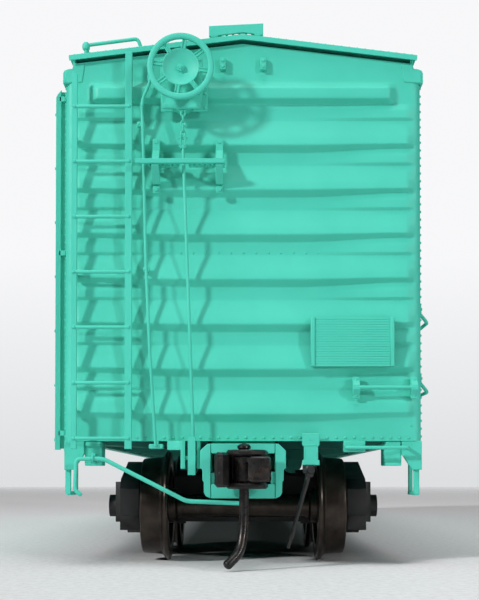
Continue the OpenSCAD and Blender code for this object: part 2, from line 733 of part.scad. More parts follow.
// ---------- air brake under the floor ----------
module air_reservoir() {
    color(green) translate([-9, -9, floor_z - 2.4]) {
        rotate([-90, 0, 0]) cylinder(d = 3.6, h = 9);
        for (y = [1.5, 7]) block([-0.3, y, 0], [0.3, y + 0.5, 2.4]);
    }
}

module brake_cylinder() {
    color(green) translate([7.5, -7, floor_z - 2]) {
        rotate([-90, 0, 0]) cylinder(d = 3, h = 4);
        rotate([90, 0, 0]) cylinder(d = 1.4, h = 1.4);
        for (y = [0.8, 2.6]) block([-0.3, y, 0], [0.3, y + 0.5, 2]);
    }
}

module control_valve() {
    color(green) translate([-8.5, 4, floor_z - 2.2]) {
        block([-1, 0, 0], [1, 2.4, 1.4]);
        block([-0.3, 0.9, 1.3], [0.3, 1.5, 2.2]);
        translate([0, 1.2, 0.7]) rotate([0, 90, 0]) cylinder(d = 1.3, h = 2, center = true);
    }
}

module train_pipe() {
    color(green) for (y = [-0.18, 0, 0.18])
        bar([4.4, (y - 0.085) * truck_centres, floor_z - 1.3], [4.4, (y + 0.085) * truck_centres, floor_z - 1.3], 0.4);
}

// ---------- trucks ----------
// outline of a sideframe in Y and Z, centred on the truck
module frame_outline() {
    h = wheelbase / 2;
    difference() {
        union() {
            polygon([[-h - 1.8, axle_z - 0.9], [-h - 1.9, axle_z + 1.7], [-h - 1, axle_z + 2.7], [-h + 2.4, axle_z + 3.6],
                     [-4, axle_z + 4.5], [4, axle_z + 4.5], [h - 2.4, axle_z + 3.6], [h + 1, axle_z + 2.7],
                     [h + 1.9, axle_z + 1.7], [h + 1.8, axle_z - 0.9], [h - 1.6, axle_z - 1.1], [4.2, axle_z - 3],
                     [-4.2, axle_z - 3], [-h + 1.6, axle_z - 1.1]]);
        }
        // window of the bolster and springs, and the triangular lightening holes
        translate([-2.6, axle_z - 1.6]) square([5.2, 4.6]);
        for (s = [0, 1]) mirror([s, 0]) polygon([[3.6, axle_z - 1.6], [3.6, axle_z + 2.6], [h - 1.8, axle_z + 1.9],
                                                  [h - 1.7, axle_z + 0.3]]);
    }
}

module sideframe() {
    h = wheelbase / 2;
    difference() {
        union() {
            slab_x(frame_x, frame_x + frame_t) frame_outline();
            // bearing blocks and their end caps
            for (s = [-1, 1]) translate([0, s * h, 0]) {
                block([frame_x, -1.7, axle_z - 2.4], [frame_x + frame_t, 1.7, axle_z + 1.5]);
                block([frame_x + frame_t - eps, -1.2, axle_z - 1.6], [frame_x + frame_t + 0.5, 1.2, axle_z + 2.4]);
                translate([frame_x + frame_t - eps, 0, axle_z]) rotate([0, 90, 0]) cylinder(r = 1.1, h = 1.2);
            }
            // spring groups in the window
            for (y = [-1.5, 0, 1.5]) translate([frame_x + frame_t / 2, y, axle_z - 1.7]) cylinder(d = 1.2, h = 2.2);
        }
        for (s = [-1, 1]) translate([frame_x - 1, s * h, axle_z]) rotate([0, 90, 0])
            cylinder(d = journal_d + 2 * run_gap, h = journal_x - frame_x + 1 + run_gap);
    }
}

module truck_bolster() {
    top = plate_z - 0.05;
    color(black) difference() {
        union() {
            slab_y(-1.9, 1.9) polygon([[-frame_x, top - 0.6], [-frame_x, top - 2.2], [-6, top - 2.6], [-3, top - 4.2],
                                       [3, top - 4.2], [6, top - 2.6], [frame_x, top - 2.2], [frame_x, top - 0.6],
                                       [3, top - 0.2], [-3, top - 0.2]]);
            // ends that rest on the springs
            for (s = [-1, 1]) block([s > 0 ? frame_x - eps : -frame_x - frame_t, -2.3, top - 2.8],
                                    [s > 0 ? frame_x + frame_t : -frame_x + eps, 2.3, top - 1.2]);
            translate([0, 0, top - 1]) cylinder(r = plate_r + 0.6, h = 1);
            // side bearings
            for (x = [-6.4, 6.4]) block([x - 0.7, -0.8, top - 1], [x + 0.7, 0.8, top + 0.3]);
            // brake beams hang from the bolster
            for (s = [-1, 1]) {
                block([-6.6, s * 3.6 - 0.3, 3.6], [6.6, s * 3.6 + 0.3, 4.5]);
                for (x = [-4, 4]) block([x - 0.3, s > 0 ? 1.7 : -3.6, 3.8], [x + 0.3, s > 0 ? 3.6 : -1.7, 6.2]);
                for (x = [-6.6, 6.6]) block([x - 0.5, s * 3.6 - 0.3, 3.4], [x + 0.5, s * 3.6 + 0.3, 5.6]);
            }
        }
        translate([0, 0, -1]) cylinder(r = pin_r + run_gap, h = 12);
        translate([0, 0, -1]) cylinder(r = 2, h = plate_z - 3 + 1);
    }
}

module at_truck(end) {
    translate([0, end * truck_y, 0]) children();
}

module truck_bolster_brake() {
    at_truck(-1) truck_bolster();
}

module truck_bolster_plain() {
    at_truck(1) truck_bolster();
}

module sideframe_brake_left() {
    color(black) at_truck(-1) mirror([1, 0, 0]) sideframe();
}

module sideframe_brake_right() {
    color(black) at_truck(-1) sideframe();
}

module sideframe_plain_left() {
    color(black) at_truck(1) mirror([1, 0, 0]) sideframe();
}

module sideframe_plain_right() {
    color(black) at_truck(1) sideframe();
}

// outline of half a wheelset: distance along the axle, radius
module wheelset_outline() {
    r = wheel_d / 2;
    b = back_to_back / 2;
    o = b + wheel_w;
    polygon([[0, 0], [0, axle_d / 2], [b - 0.9, axle_d / 2], [b - 0.5, axle_d / 2 + 0.5], [b + 0.35, axle_d / 2 + 0.6],
             [b + 0.5, r - 1.1], [b, r - 0.7], [b, r + flange_h - 0.15], [b + 0.2, r + flange_h],
             [b + 0.5, r + flange_h - 0.1], [b + 0.8, r + 0.05], [o - 0.2, r - 0.05], [o, r - 0.2], [o, r - 0.9],
             [b + 1.2, r - 1.2], [b + 1.2, axle_d / 2 + 0.6], [o - 0.2, axle_d / 2 + 0.4], [o, axle_d / 2 + 0.1],
             [o, journal_d / 2], [journal_x - 0.3, journal_d / 2], [journal_x, 0]]);
}

module wheelset(y) {
    color("gray") translate([0, y, axle_z]) for (s = [0, 1]) mirror([s, 0, 0])
        rotate([0, 90, 0]) rotate_extrude() mirror([0, 1]) rotate([0, 0, -90]) mirror([0, 1]) wheelset_outline();
}

module wheelset_1() {
    wheelset(-truck_y - wheelbase / 2);
}

module wheelset_2() {
    wheelset(-truck_y + wheelbase / 2);
}

module wheelset_3() {
    wheelset(truck_y - wheelbase / 2);
}

module wheelset_4() {
    wheelset(truck_y + wheelbase / 2);
}

side_left();
side_right();
end_brake();
end_plain();
roof();
running_board();
floor_deck();  // floor
center_sill();
body_bolsters();
crossbearers();
weight_plate();
door_left();
door_right();
door_tracks_left();
door_tracks_right();
side_ladders();
end_ladders();
side_grabs();
end_grabs();
roof_grabs();
brake_wheel();
brake_housing();
brake_chain();
brake_rod();
bell_crank();
retainer_pipe();
brake_step();
tack_boards();
corner_irons();
stirrup_steps();
cut_levers();
air_hoses();
hose_brackets();
coupler_box_brake();
coupler_box_plain();
coupler_brake();
coupler_plain();
knuckle_brake();
knuckle_plain();
air_reservoir();
brake_cylinder();
control_valve();
train_pipe();
truck_bolster_brake();
sideframe_brake_left();
sideframe_brake_right();
truck_bolster_plain();
sideframe_plain_left();
sideframe_plain_right();
wheelset_1();
wheelset_2();
wheelset_3();
wheelset_4();
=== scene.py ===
import math

import bmesh
import bpy
import numpy as np
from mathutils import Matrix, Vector


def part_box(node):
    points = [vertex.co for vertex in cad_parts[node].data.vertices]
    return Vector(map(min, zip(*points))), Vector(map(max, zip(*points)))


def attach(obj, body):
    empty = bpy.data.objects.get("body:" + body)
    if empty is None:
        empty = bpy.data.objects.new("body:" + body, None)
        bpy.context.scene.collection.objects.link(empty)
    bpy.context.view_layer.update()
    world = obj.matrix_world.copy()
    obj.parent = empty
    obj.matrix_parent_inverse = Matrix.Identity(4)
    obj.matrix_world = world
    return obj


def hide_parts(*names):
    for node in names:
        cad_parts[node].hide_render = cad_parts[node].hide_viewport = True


# Looks of a small scale model of a steel boxcar with corrugated ends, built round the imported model.
# Lengths below are millimetres. +Z is up and the brake end faces -Y.
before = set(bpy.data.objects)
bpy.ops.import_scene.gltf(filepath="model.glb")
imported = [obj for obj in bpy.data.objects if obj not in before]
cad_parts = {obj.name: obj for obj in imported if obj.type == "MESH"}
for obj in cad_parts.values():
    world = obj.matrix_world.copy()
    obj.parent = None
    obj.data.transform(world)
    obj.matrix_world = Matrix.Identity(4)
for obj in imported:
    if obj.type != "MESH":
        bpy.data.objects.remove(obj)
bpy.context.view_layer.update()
MM = 0.001


# ---------- sizes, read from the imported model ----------
def span(node):
    """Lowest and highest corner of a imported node, in millimetres."""
    low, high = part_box(node)
    return np.array(low) * 1000, np.array(high) * 1000


# Half the width and length of the body, the wall, the foot of the end and the ridge, rise and eave of the roof.
end_low, end_high = span("end_brake")
_, deck_high = span("floor")
_, roof_high = span("roof")
board_low, board_high = span("running_board")
HALF_W = end_high[0]
WALL = HALF_W - deck_high[0]
HALF_L = WALL - end_high[1]
FOOT = end_low[2]
RIDGE = roof_high[2] - 0.22
ROOF_RISE = 2.0
EAVE = RIDGE - ROOF_RISE
# The seam of the two end sheets, the ribs' lowest edge, pitch, number and depth, the top rib, half the roof's length.
SEAM = FOOT + 17.6
RIB_LOW = FOOT + 1.75
PITCH = 4.24
RIBS = 7
CREST = 0.7
TOP_RIB = FOOT + 31.85
EDGE_L = roof_high[1]


# ---------- shapes ----------
def grid_faces(nu, nv, ring_u=False, ring_v=False):
    """Quads between neighbours on a grid of nu by nv points; a ring joins its last row to its first."""
    u = np.arange(nu if ring_u else nu - 1)[:, None]
    v = np.arange(nv if ring_v else nv - 1)[None, :]
    u2, v2 = (u + 1) % nu, (v + 1) % nv
    quads = np.broadcast_arrays(u * nv + v, u2 * nv + v, u2 * nv + v2, u * nv + v2)
    return np.stack(quads, -1).reshape(-1, 4)


def skin(rings, loop=False):
    """Quads round a row of closed rings of points; the first and last ring get a flat face, or meet in a loop."""
    n, m = rings.shape[:2]
    faces = [grid_faces(n, m, ring_u=loop, ring_v=True)]
    if not loop:
        faces += [np.arange(m)[None, ::-1], (n - 1) * m + np.arange(m)[None]]
    return rings.reshape(-1, 3), faces


def on_axis(axis, flat, along):
    """Points from an outline in the two other axes, in the order of X, Y, Z, and a place along the axis."""
    along = np.broadcast_to(along, flat.shape[:-1])
    order = {"x": (2, 0, 1), "y": (0, 2, 1), "z": (0, 1, 2)}[axis]
    full = np.concatenate([flat, along[..., None]], -1)
    return full[..., list(order)]


def inset(outline, d):
    """The outline moved inwards by d, each corner along the bisector of its two edges."""
    area = np.sum(outline[:, 0] * np.roll(outline[:, 1], -1) - np.roll(outline[:, 0], -1) * outline[:, 1])
    turn = np.sign(area)
    back = outline - np.roll(outline, 1, 0)
    on = np.roll(outline, -1, 0) - outline
    normals = []
    for edge in (back, on):
        edge = edge / np.maximum(np.linalg.norm(edge, axis=1, keepdims=True), 1e-9)
        normals.append(np.stack([-edge[:, 1], edge[:, 0]], 1) * turn)
    bisector = normals[0] + normals[1]
    bisector /= np.maximum(np.linalg.norm(bisector, axis=1, keepdims=True), 1e-9)
    lean = np.maximum(np.sum(bisector * normals[0], axis=1, keepdims=True), 0.4)
    return outline + bisector * d / lean


def plate(axis, outline, a, b, edge=0.06):
    """An outline extruded from a to b along an axis, with its edges cut back by a small chamfer."""
    outline = np.asarray(outline, float)
    a, b = min(a, b), max(a, b)
    small = inset(outline, edge)
    rings = [(small, a), (outline, a + edge), (outline, b - edge), (small, b)]
    return skin(np.stack([on_axis(axis, ring, place) for ring, place in rings]))


CORNERS = np.array([[x, y, z] for x in (-1, 1) for y in (-1, 1) for z in (-1, 1)])


def box_faces():
    """Faces of a chamfered box whose corner i has the points 3i, 3i+1 and 3i+2, one on each of its three sides."""
    number = {tuple(c): i for i, c in enumerate(CORNERS.tolist())}
    quads = []
    for k in range(3):
        p, q = [i for i in range(3) if i != k]
        for s in (-1, 1):
            ring = []
            for sp, sq in ((-1, -1), (1, -1), (1, 1), (-1, 1)):
                c = [0, 0, 0]
                c[k], c[p], c[q] = s, sp, sq
                ring.append(3 * number[tuple(c)] + k)
            quads.append(ring)
            for t in (-1, 1):
                c = [0, 0, 0]
                c[p], c[q] = s, t
                c[k] = -1
                d = list(c)
                d[k] = 1
                i, j = 3 * number[tuple(c)], 3 * number[tuple(d)]
                quads.append([i + p, j + p, j + q, i + q])
    tris = np.arange(24).reshape(8, 3)
    return np.array(quads), tris


BOX_QUADS, BOX_TRIS = box_faces()


def boxes(lows, highs, edge=0.05):
    """Many boxes at once, each from its low to its high corner, with chamfered edges."""
    lows, highs = np.atleast_2d(np.array(lows, float)), np.atleast_2d(np.array(highs, float))
    lows, highs = np.minimum(lows, highs), np.maximum(lows, highs)
    middle, half = (lows + highs) / 2, (highs - lows) / 2
    cut = np.minimum(edge, 0.45 * half.min(axis=1))[:, None, None, None]
    side = np.eye(3)[None, None]
    signs = CORNERS[None, :, None, :]
    points = middle[:, None, None] + signs * (half[:, None, None] - cut * (1 - side))
    n = len(lows)
    step = 24 * np.arange(n)[:, None, None]
    return points.reshape(-1, 3), [(BOX_QUADS + step).reshape(-1, 4), (BOX_TRIS + step).reshape(-1, 3)]


def box(low, high, edge=0.05):
    """One chamfered box from its low to its high corner."""
    return boxes([low], [high], edge)


def bent(path, corner=0.5, steps=6):
    """The path with each corner turned into a parabola that starts and ends a given distance from it."""
    p = np.asarray(path, float)
    if len(p) < 3:
        return p
    a, b, c = p[:-2] - p[1:-1], p[1:-1], p[2:] - p[1:-1]
    la = np.linalg.norm(a, axis=1, keepdims=True)
    lc = np.linalg.norm(c, axis=1, keepdims=True)
    start = b + a / la * np.minimum(corner, 0.48 * la)
    stop = b + c / lc * np.minimum(corner, 0.48 * lc)
    t = np.linspace(0, 1, steps)[None, :, None]
    arc = (1 - t) ** 2 * start[:, None] + 2 * t * (1 - t) * b[:, None] + t * t * stop[:, None]
    return np.concatenate([p[:1], arc.reshape(-1, 3), p[-1:]])


def tube(path, d, corner=0.5, sides=14, tips=True):
    """A circle carried along a bent path; its diameter may be a list spread along the path, and the tips are domed."""
    p = bent(path, corner)
    run = np.concatenate([[0], np.cumsum(np.linalg.norm(np.diff(p, axis=0), axis=1))])
    sizes = np.atleast_1d(d).astype(float)
    r = np.interp(run / run[-1], np.linspace(0, 1, max(2, len(sizes))), np.resize(sizes, max(2, len(sizes)))) / 2
    ahead = np.gradient(p, run, axis=0)
    ahead /= np.linalg.norm(ahead, axis=1, keepdims=True)
    flat = np.linalg.svd(p - p.mean(0), full_matrices=True)[2][2]
    if tips:
        a = np.radians([78, 52, 26])
        first = p[:1] - ahead[:1] * (np.sin(a) * r[0] * 0.7)[:, None]
        last = p[-1:] + ahead[-1:] * (np.sin(a[::-1]) * r[-1] * 0.7)[:, None]
        p = np.concatenate([first, p, last])
        ahead = np.concatenate([np.repeat(ahead[:1], 3, 0), ahead, np.repeat(ahead[-1:], 3, 0)])
        r = np.concatenate([np.cos(a) * r[0], r, np.cos(a[::-1]) * r[-1]])
    side = np.cross(ahead, flat)
    side /= np.linalg.norm(side, axis=1, keepdims=True)
    up = np.cross(side, ahead)
    a = np.linspace(0, 2 * np.pi, sides, endpoint=False)[None, :, None]
    return skin(p[:, None] + r[:, None, None] * (np.cos(a) * side[:, None] + np.sin(a) * up[:, None]))


def square_to(normal):
    """The unit normal, and two unit vectors square to it and to each other."""
    normal = np.array(normal, float) / np.linalg.norm(normal)
    helper = np.array([0.0, 0, 1]) if abs(normal[2]) < 0.9 else np.array([1.0, 0, 0])
    u = np.cross(helper, normal)
    u /= np.linalg.norm(u)
    return normal, u, np.cross(normal, u)


def hoop(centre, radius, d, normal, sides=10, steps=24, tall=1.0):
    """A torus: a circle of diameter d carried round a ring that may be stretched to an oval by tall."""
    normal, u, v = square_to(normal)
    a = np.linspace(0, 2 * np.pi, steps, endpoint=False)[:, None]
    out = np.cos(a) * u + np.sin(a) * v
    spine = np.array(centre, float) + radius * (np.cos(a) * u + tall * np.sin(a) * v)
    b = np.linspace(0, 2 * np.pi, sides, endpoint=False)[None, :, None]
    return skin(spine[:, None] + d / 2 * (np.cos(b) * out[:, None] + np.sin(b) * normal), loop=True)


def lathe(profile, centre, axis, steps=64):
    """A profile of distance along the axis and radius turned round it; its first and last radius close the ends."""
    profile = np.asarray(profile, float)
    a = np.linspace(0, 2 * np.pi, steps, endpoint=False)[None, :]
    c, s = profile[:, 1:] * np.cos(a), profile[:, 1:] * np.sin(a)
    along = np.broadcast_to(profile[:, :1], c.shape)
    order = {"x": (along, c, s), "y": (c, along, s), "z": (c, s, along)}[axis]
    return skin(np.stack(order, -1) + np.array(centre, float))


def studs(centres, normal, sides, widths, rises):
    """Small heads: at each centre three rings of the given radii, rising along the normal to a flat top."""
    centres = np.atleast_2d(np.array(centres, float))
    normal, u, v = square_to(normal)
    a = np.linspace(0, 2 * np.pi, sides, endpoint=False)[None, :, None]
    one = (np.cos(a) * u + np.sin(a) * v) * widths[:, None, None] + rises[:, None, None] * normal
    points = centres[:, None] + one.reshape(1, -1, 3)
    step = 3 * sides * np.arange(len(centres))[:, None, None]
    around = (grid_faces(3, sides, ring_v=True) + step).reshape(-1, 4)
    ends = np.stack([np.arange(sides)[::-1], 2 * sides + np.arange(sides)])
    return points.reshape(-1, 3), [around, (ends + step).reshape(-1, sides)]


def domes(centres, normal, r=0.2, tall=0.12):
    """Rivet heads, rounded by rings of eight points that shrink towards the top."""
    return studs(centres, normal, 8, r * np.array([1.0, 0.88, 0.45]), tall * np.array([-0.3, 0.5, 1.0]))


def nuts(centres, normal, r=0.25, tall=0.2):
    """Hexagon bolt heads with a chamfered top."""
    return studs(centres, normal, 6, r * np.array([1.0, 1.0, 0.78]), tall * np.array([-0.3, 0.75, 1.0]))


def slab(front, back):
    """A block between two grids of points with the same rows: quads over the front and round the rim, one flat back."""
    nu, nv = front.shape[:2]
    number = np.arange(nu * nv).reshape(nu, nv)
    rim = np.concatenate([number[:-1, 0], number[-1, :-1], number[:0:-1, -1], number[0, :0:-1]])
    base = nu * nv + np.arange(len(rim))
    around = np.stack([rim, np.roll(rim, -1), np.roll(base, -1), base], 1)
    points = np.concatenate([front.reshape(-1, 3), back.reshape(-1, 3)[rim]])
    return points, [grid_faces(nu, nv), around, base[None]]


def turned(parts):
    """The same parts at the other end of the car, turned half a turn about Z."""
    return [(p * np.array([-1, -1, 1]), f) for p, f in parts]


def both(parts):
    """The parts and their copy at the other end of the car."""
    return parts + turned(parts)


def mirrored(parts):
    """The same parts on the other side of the car."""
    return [(p * np.array([-1, 1, 1]), f) for p, f in parts]


def moved(parts, x, y, z):
    """The same parts shifted into their place."""
    return [(p + np.array([x, y, z]), f) for p, f in parts]


def spots(x, y, z):
    """Points from their three coordinates, each a number or an array."""
    return np.stack(np.broadcast_arrays(x, y, z), -1)


def step01(t):
    """The smooth step from 0 to 1: three squares of t less two cubes."""
    t = np.clip(t, 0, 1)
    return t * t * (3 - 2 * t)


def placed(name, data):
    """A new object in the scene."""
    thing = bpy.data.objects.new(name, data)
    bpy.context.scene.collection.objects.link(thing)
    return thing


def finished(name, mesh, finish, body, stands_for, smooth):
    """An object with one finish, smooth except over sharp angles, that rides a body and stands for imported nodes."""
    mesh.polygons.foreach_set("use_smooth", np.ones(len(mesh.polygons), bool))
    mesh.set_sharp_from_angle(angle=math.radians(smooth))
    mesh.materials.clear()
    mesh.materials.append(finish)
    thing = placed(name, mesh)
    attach(thing, body)
    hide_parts(*stands_for)
    return thing


def piece(name, parts, finish, body, stands_for, smooth=38):
    """One mesh from all the parts: doubles merged, faces turned outwards, smooth except over sharp angles."""
    starts = np.cumsum([0] + [len(p) for p, _ in parts])
    faces = [f + s for (_, fs), s in zip(parts, starts) for f in fs]
    points = np.concatenate([p for p, _ in parts]) * MM
    corners = np.concatenate([f.ravel() for f in faces])
    counts = np.concatenate([np.full(len(f), f.shape[1]) for f in faces])
    mesh = bpy.data.meshes.new(name)
    mesh.vertices.add(len(points))
    mesh.vertices.foreach_set("co", points.astype(np.float32).ravel())
    mesh.loops.add(len(corners))
    mesh.loops.foreach_set("vertex_index", corners.astype(np.int32))
    mesh.polygons.add(len(counts))
    mesh.polygons.foreach_set("loop_start", np.concatenate([[0], np.cumsum(counts)[:-1]]).astype(np.int32))
    mesh.update(calc_edges=True)
    work = bmesh.new()
    work.from_mesh(mesh)
    bmesh.ops.remove_doubles(work, verts=work.verts, dist=2e-7)
    bmesh.ops.recalc_face_normals(work, faces=work.faces)
    work.to_mesh(mesh)
    work.free()
    return finished(name, mesh, finish, body, stands_for, smooth)


def painted(name, parts, node=None, body="carbody", smooth=38):
    """A piece in the car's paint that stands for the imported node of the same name, or for the one given."""
    return piece(name, parts, green_paint, body, [node or name], smooth)


def softened(name, node, finish, body, width):
    """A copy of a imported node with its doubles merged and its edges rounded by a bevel."""
    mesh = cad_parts[node].data.copy()
    work = bmesh.new()
    work.from_mesh(mesh)
    bmesh.ops.remove_doubles(work, verts=work.verts, dist=1e-6)
    flat = [e for e in work.edges if e.is_manifold]
    bmesh.ops.dissolve_limit(work, angle_limit=math.radians(1), verts=work.verts, edges=flat)
    work.to_mesh(mesh)
    work.free()
    thing = finished(name, mesh, finish, body, [node], 40)
    round_over = thing.modifiers.new("rounded_edges", "BEVEL")
    round_over.width = width * MM
    round_over.segments = 2
    round_over.limit_method = "ANGLE"
    round_over.angle_limit = math.radians(28)
    round_over.use_clamp_overlap = True
    return thing


# ---------- finishes ----------
def wire(tree, node, inputs):
    """Gives each input of a node a plain value, or a link from another node's output."""
    for key, value in inputs.items():
        if isinstance(value, bpy.types.NodeSocket):
            tree.links.new(value, node.inputs[key])
        else:
            node.inputs[key].default_value = value


def shade(tree, kind, inputs, **settings):
    """The outputs of a new shader node with these settings and inputs."""
    node = tree.nodes.new("ShaderNode" + kind)
    for key, value in settings.items():
        setattr(node, key, value)
    wire(tree, node, inputs)
    return node.outputs


def finish_nodes(name):
    """A new material with its node tree, its shader and the object's own coordinates."""
    made = bpy.data.materials.new(name)
    made.use_nodes = True
    tree = made.node_tree
    return made, tree, tree.nodes["Principled BSDF"], shade(tree, "TexCoord", {})["Object"]


def grain(tree, where, scale, detail=3.0, rough=0.55):
    """Noise with features of about one over scale metres."""
    return shade(tree, "TexNoise", {"Vector": where, "Scale": scale, "Detail": detail, "Roughness": rough})["Fac"]


def ramp(tree, value, low, high, a, b):
    """Maps a value from low..high to a..b."""
    inputs = {"Value": value, "From Min": low, "From Max": high, "To Min": a, "To Max": b}
    return shade(tree, "MapRange", inputs)["Result"]


def maths(tree, operation, *values):
    """One step of arithmetic on one or two values."""
    return shade(tree, "Math", dict(enumerate(values)), operation=operation)["Value"]


def distance(tree, vector):
    """The length of a vector."""
    return shade(tree, "VectorMath", {0: vector}, operation="LENGTH")["Value"]


def blend(tree, factor, a, b):
    """A colour between two colours."""
    return shade(tree, "Mix", {"Factor": factor, "A": a, "B": b}, data_type="RGBA")["Result"]


def tint(tree, value, low, high, dark, light):
    """The dark colour where the value is low, the light one where it is high."""
    return blend(tree, ramp(tree, value, low, high, 0, 1), (*dark, 1), (*light, 1))


def relief(tree, shader, layers):
    """Bump from a list of height and depth in micrometres, one on top of another."""
    inputs = {"Strength": 1.0}
    for height, depth in layers:
        inputs.update(Height=height, Distance=depth * 1e-6)
        inputs["Normal"] = shade(tree, "Bump", inputs)["Normal"]
    wire(tree, shader, {"Normal": inputs["Normal"]})


def satin_paint(name, dark, light, gloss=0.52):
    """Sprayed paint: faint cloudy colour, a fine orange peel and a slightly uneven sheen."""
    made, tree, shader, where = finish_nodes(name)
    broad = grain(tree, where, 900, 3)
    wire(tree, shader, {"Base Color": tint(tree, grain(tree, where, 140, 4), 0.35, 0.65, dark, light),
                        "Roughness": ramp(tree, broad, 0.3, 0.7, gloss - 0.06, gloss + 0.06),
                        "Specular IOR Level": 0.35})
    relief(tree, shader, [(broad, 2.5), (grain(tree, where, 5200, 2), 2.0)])
    return made


def moulded_plastic(name, dark, light, gloss):
    """Plain moulded plastic: a fine stipple, small patches of dust and an uneven sheen."""
    made, tree, shader, where = finish_nodes(name)
    dust = grain(tree, where, 700, 5, 0.65)
    wire(tree, shader, {"Base Color": tint(tree, dust, 0.5, 0.78, dark, light),
                        "Roughness": ramp(tree, dust, 0.3, 0.7, gloss - 0.08, gloss + 0.1)})
    relief(tree, shader, [(dust, 4.0), (grain(tree, where, 6000, 3), 2.4)])
    return made


def turned_metal(name, axle_y, axle_z, dark, light):
    """Metal from a lathe: fine rings round the axle, from noise of the distance to it and of the place along it."""
    made, tree, shader, where = finish_nodes(name)
    centred = shade(tree, "Mapping", {"Vector": where, "Location": (0, -axle_y * MM, -axle_z * MM)})["Vector"]
    flat = shade(tree, "VectorMath", {0: centred, 1: (0, 1, 1)}, operation="MULTIPLY")["Vector"]
    far = distance(tree, flat)
    along = shade(tree, "SeparateXYZ", {"Vector": where})["X"]
    line = shade(tree, "CombineXYZ", {"X": maths(tree, "ADD", far, along), "Y": far})["Vector"]
    rings = grain(tree, line, 9000, 3, 0.7)
    patch = grain(tree, where, 800, 4)
    wire(tree, shader, {"Base Color": tint(tree, patch, 0.35, 0.7, dark, light), "Metallic": 0.82,
                        "Roughness": ramp(tree, rings, 0.3, 0.7, 0.26, 0.42)})
    relief(tree, shader, [(rings, 1.6), (patch, 1.2)])
    return made


def cast_metal(name, dark, light, gloss=0.45):
    """Blackened casting: lumpy grain with a few worn, browner patches."""
    made, tree, shader, where = finish_nodes(name)
    lumps = grain(tree, where, 2600, 4, 0.6)
    wear = grain(tree, where, 900, 5, 0.6)
    wire(tree, shader, {"Base Color": tint(tree, wear, 0.52, 0.75, dark, light), "Metallic": 0.35,
                        "Roughness": ramp(tree, lumps, 0.3, 0.7, gloss - 0.1, gloss + 0.15)})
    relief(tree, shader, [(lumps, 14), (wear, 8)])
    return made


green_paint = satin_paint("mint_green_satin_paint", (0.062, 0.565, 0.432), (0.072, 0.605, 0.468))
# The underframe's green at about half the body's brightness: painted shade for the underside, which sits in shadow.
underframe_painted_shade_paint = satin_paint("green_underframe_paint_darkened_as_painted_shade", (0.021, 0.225, 0.172), (0.028, 0.265, 0.204), 0.6)
black_plastic = moulded_plastic("black_moulded_truck_plastic", (0.005, 0.005, 0.006), (0.015, 0.014, 0.014), 0.5)
hose_plastic = moulded_plastic("black_hose_plastic", (0.010, 0.010, 0.011), (0.020, 0.020, 0.021), 0.48)
coupler_black = cast_metal("black_cast_coupler_metal", (0.010, 0.009, 0.009), (0.035, 0.027, 0.023))
pin_black = cast_metal("glossy_black_trip_pin", (0.010, 0.009, 0.009), (0.045, 0.030, 0.022), 0.3)
ballast_steel = turned_metal("rolled_ballast_steel", 0, 0, (0.36, 0.36, 0.37), (0.46, 0.46, 0.47))

# ---------- body: ends ----------
# Radius of the end's corners, and half the width over which the roof rises.
CORNER_R = 0.8
ROOF_HALF = HALF_W - 0.4


def roof_at(x):
    """Height of the plain roof sheet at x: a straight pitch from the ridge down to each side."""
    return RIDGE - ROOF_RISE * np.abs(x) / ROOF_HALF


def corner_back(x):
    """How far the rounded corner has turned back from the flat of the end: radius less the circle's height."""
    over = np.clip(np.abs(x) - (HALF_W - CORNER_R), 0, CORNER_R)
    return CORNER_R - np.sqrt(np.maximum(CORNER_R**2 - over**2, 0))


def end_top(x):
    """Height of the end's upper edge: parallel to the roof a thin gap below its sheet, and lower at the corners."""
    return np.where(np.abs(x) > HALF_W - 0.72, EAVE - 1.2, RIDGE - 0.74 - ROOF_RISE * np.abs(x) / HALF_W)


def rib_controls(x):
    """Height and depth of every fold of the end at x: seven tapering ribs, darts between, and a short top rib."""
    e = step01((np.abs(x) - 4.6) / 10.6)
    k = step01((16.35 - np.abs(x)) / 1.1)
    rows = [(FOOT, 0 * x)]
    for i in range(RIBS):
        z = RIB_LOW + i * PITCH
        low = z + 0.45 * e
        face = 0.74 - 0.03 * i - 0.26 * e
        d = (CREST - 0.22 * e) * k
        crest, top = low + face, z + 3.02
        run = top - crest
        dart = 0.27 * e * k
        upper = z + PITCH + 0.45 * e
        rows += [(low, 0 * x), (crest, d), (crest + 0.35 * run, 0.7 * d), (crest + 0.72 * run, 0.31 * d),
                 (top, 0 * x), (top + 0.24, dart), (0.5 * (top + 0.24 + upper), 0.85 * dart)]
    t = CREST * step01((HALF_W - 2.1 - np.abs(x)) / 1.15)
    rows += [(TOP_RIB, 0 * x), (TOP_RIB + 0.3, t), (TOP_RIB + 1.32, t), (TOP_RIB + 2.0, 0 * x), (end_top(x), 0 * x)]
    return np.stack([np.stack(np.broadcast_arrays(*row), -1) for row in rows], 1)


def softened_folds(controls, share=0.16, steps=4):
    """Each fold of a profile turned into a short parabola between points a share of the way to its neighbours."""
    a, b, c = controls[:, :-2], controls[:, 1:-1], controls[:, 2:]
    start, stop = b + (a - b) * share, b + (c - b) * share
    t = np.linspace(0, 1, steps)[None, None, :, None]
    arc = (1 - t) ** 2 * start[:, :, None] + 2 * t * (1 - t) * b[:, :, None] + t * t * stop[:, :, None]
    n = len(controls)
    return np.concatenate([controls[:, :1], arc.reshape(n, -1, 2), controls[:, -1:]], 1)


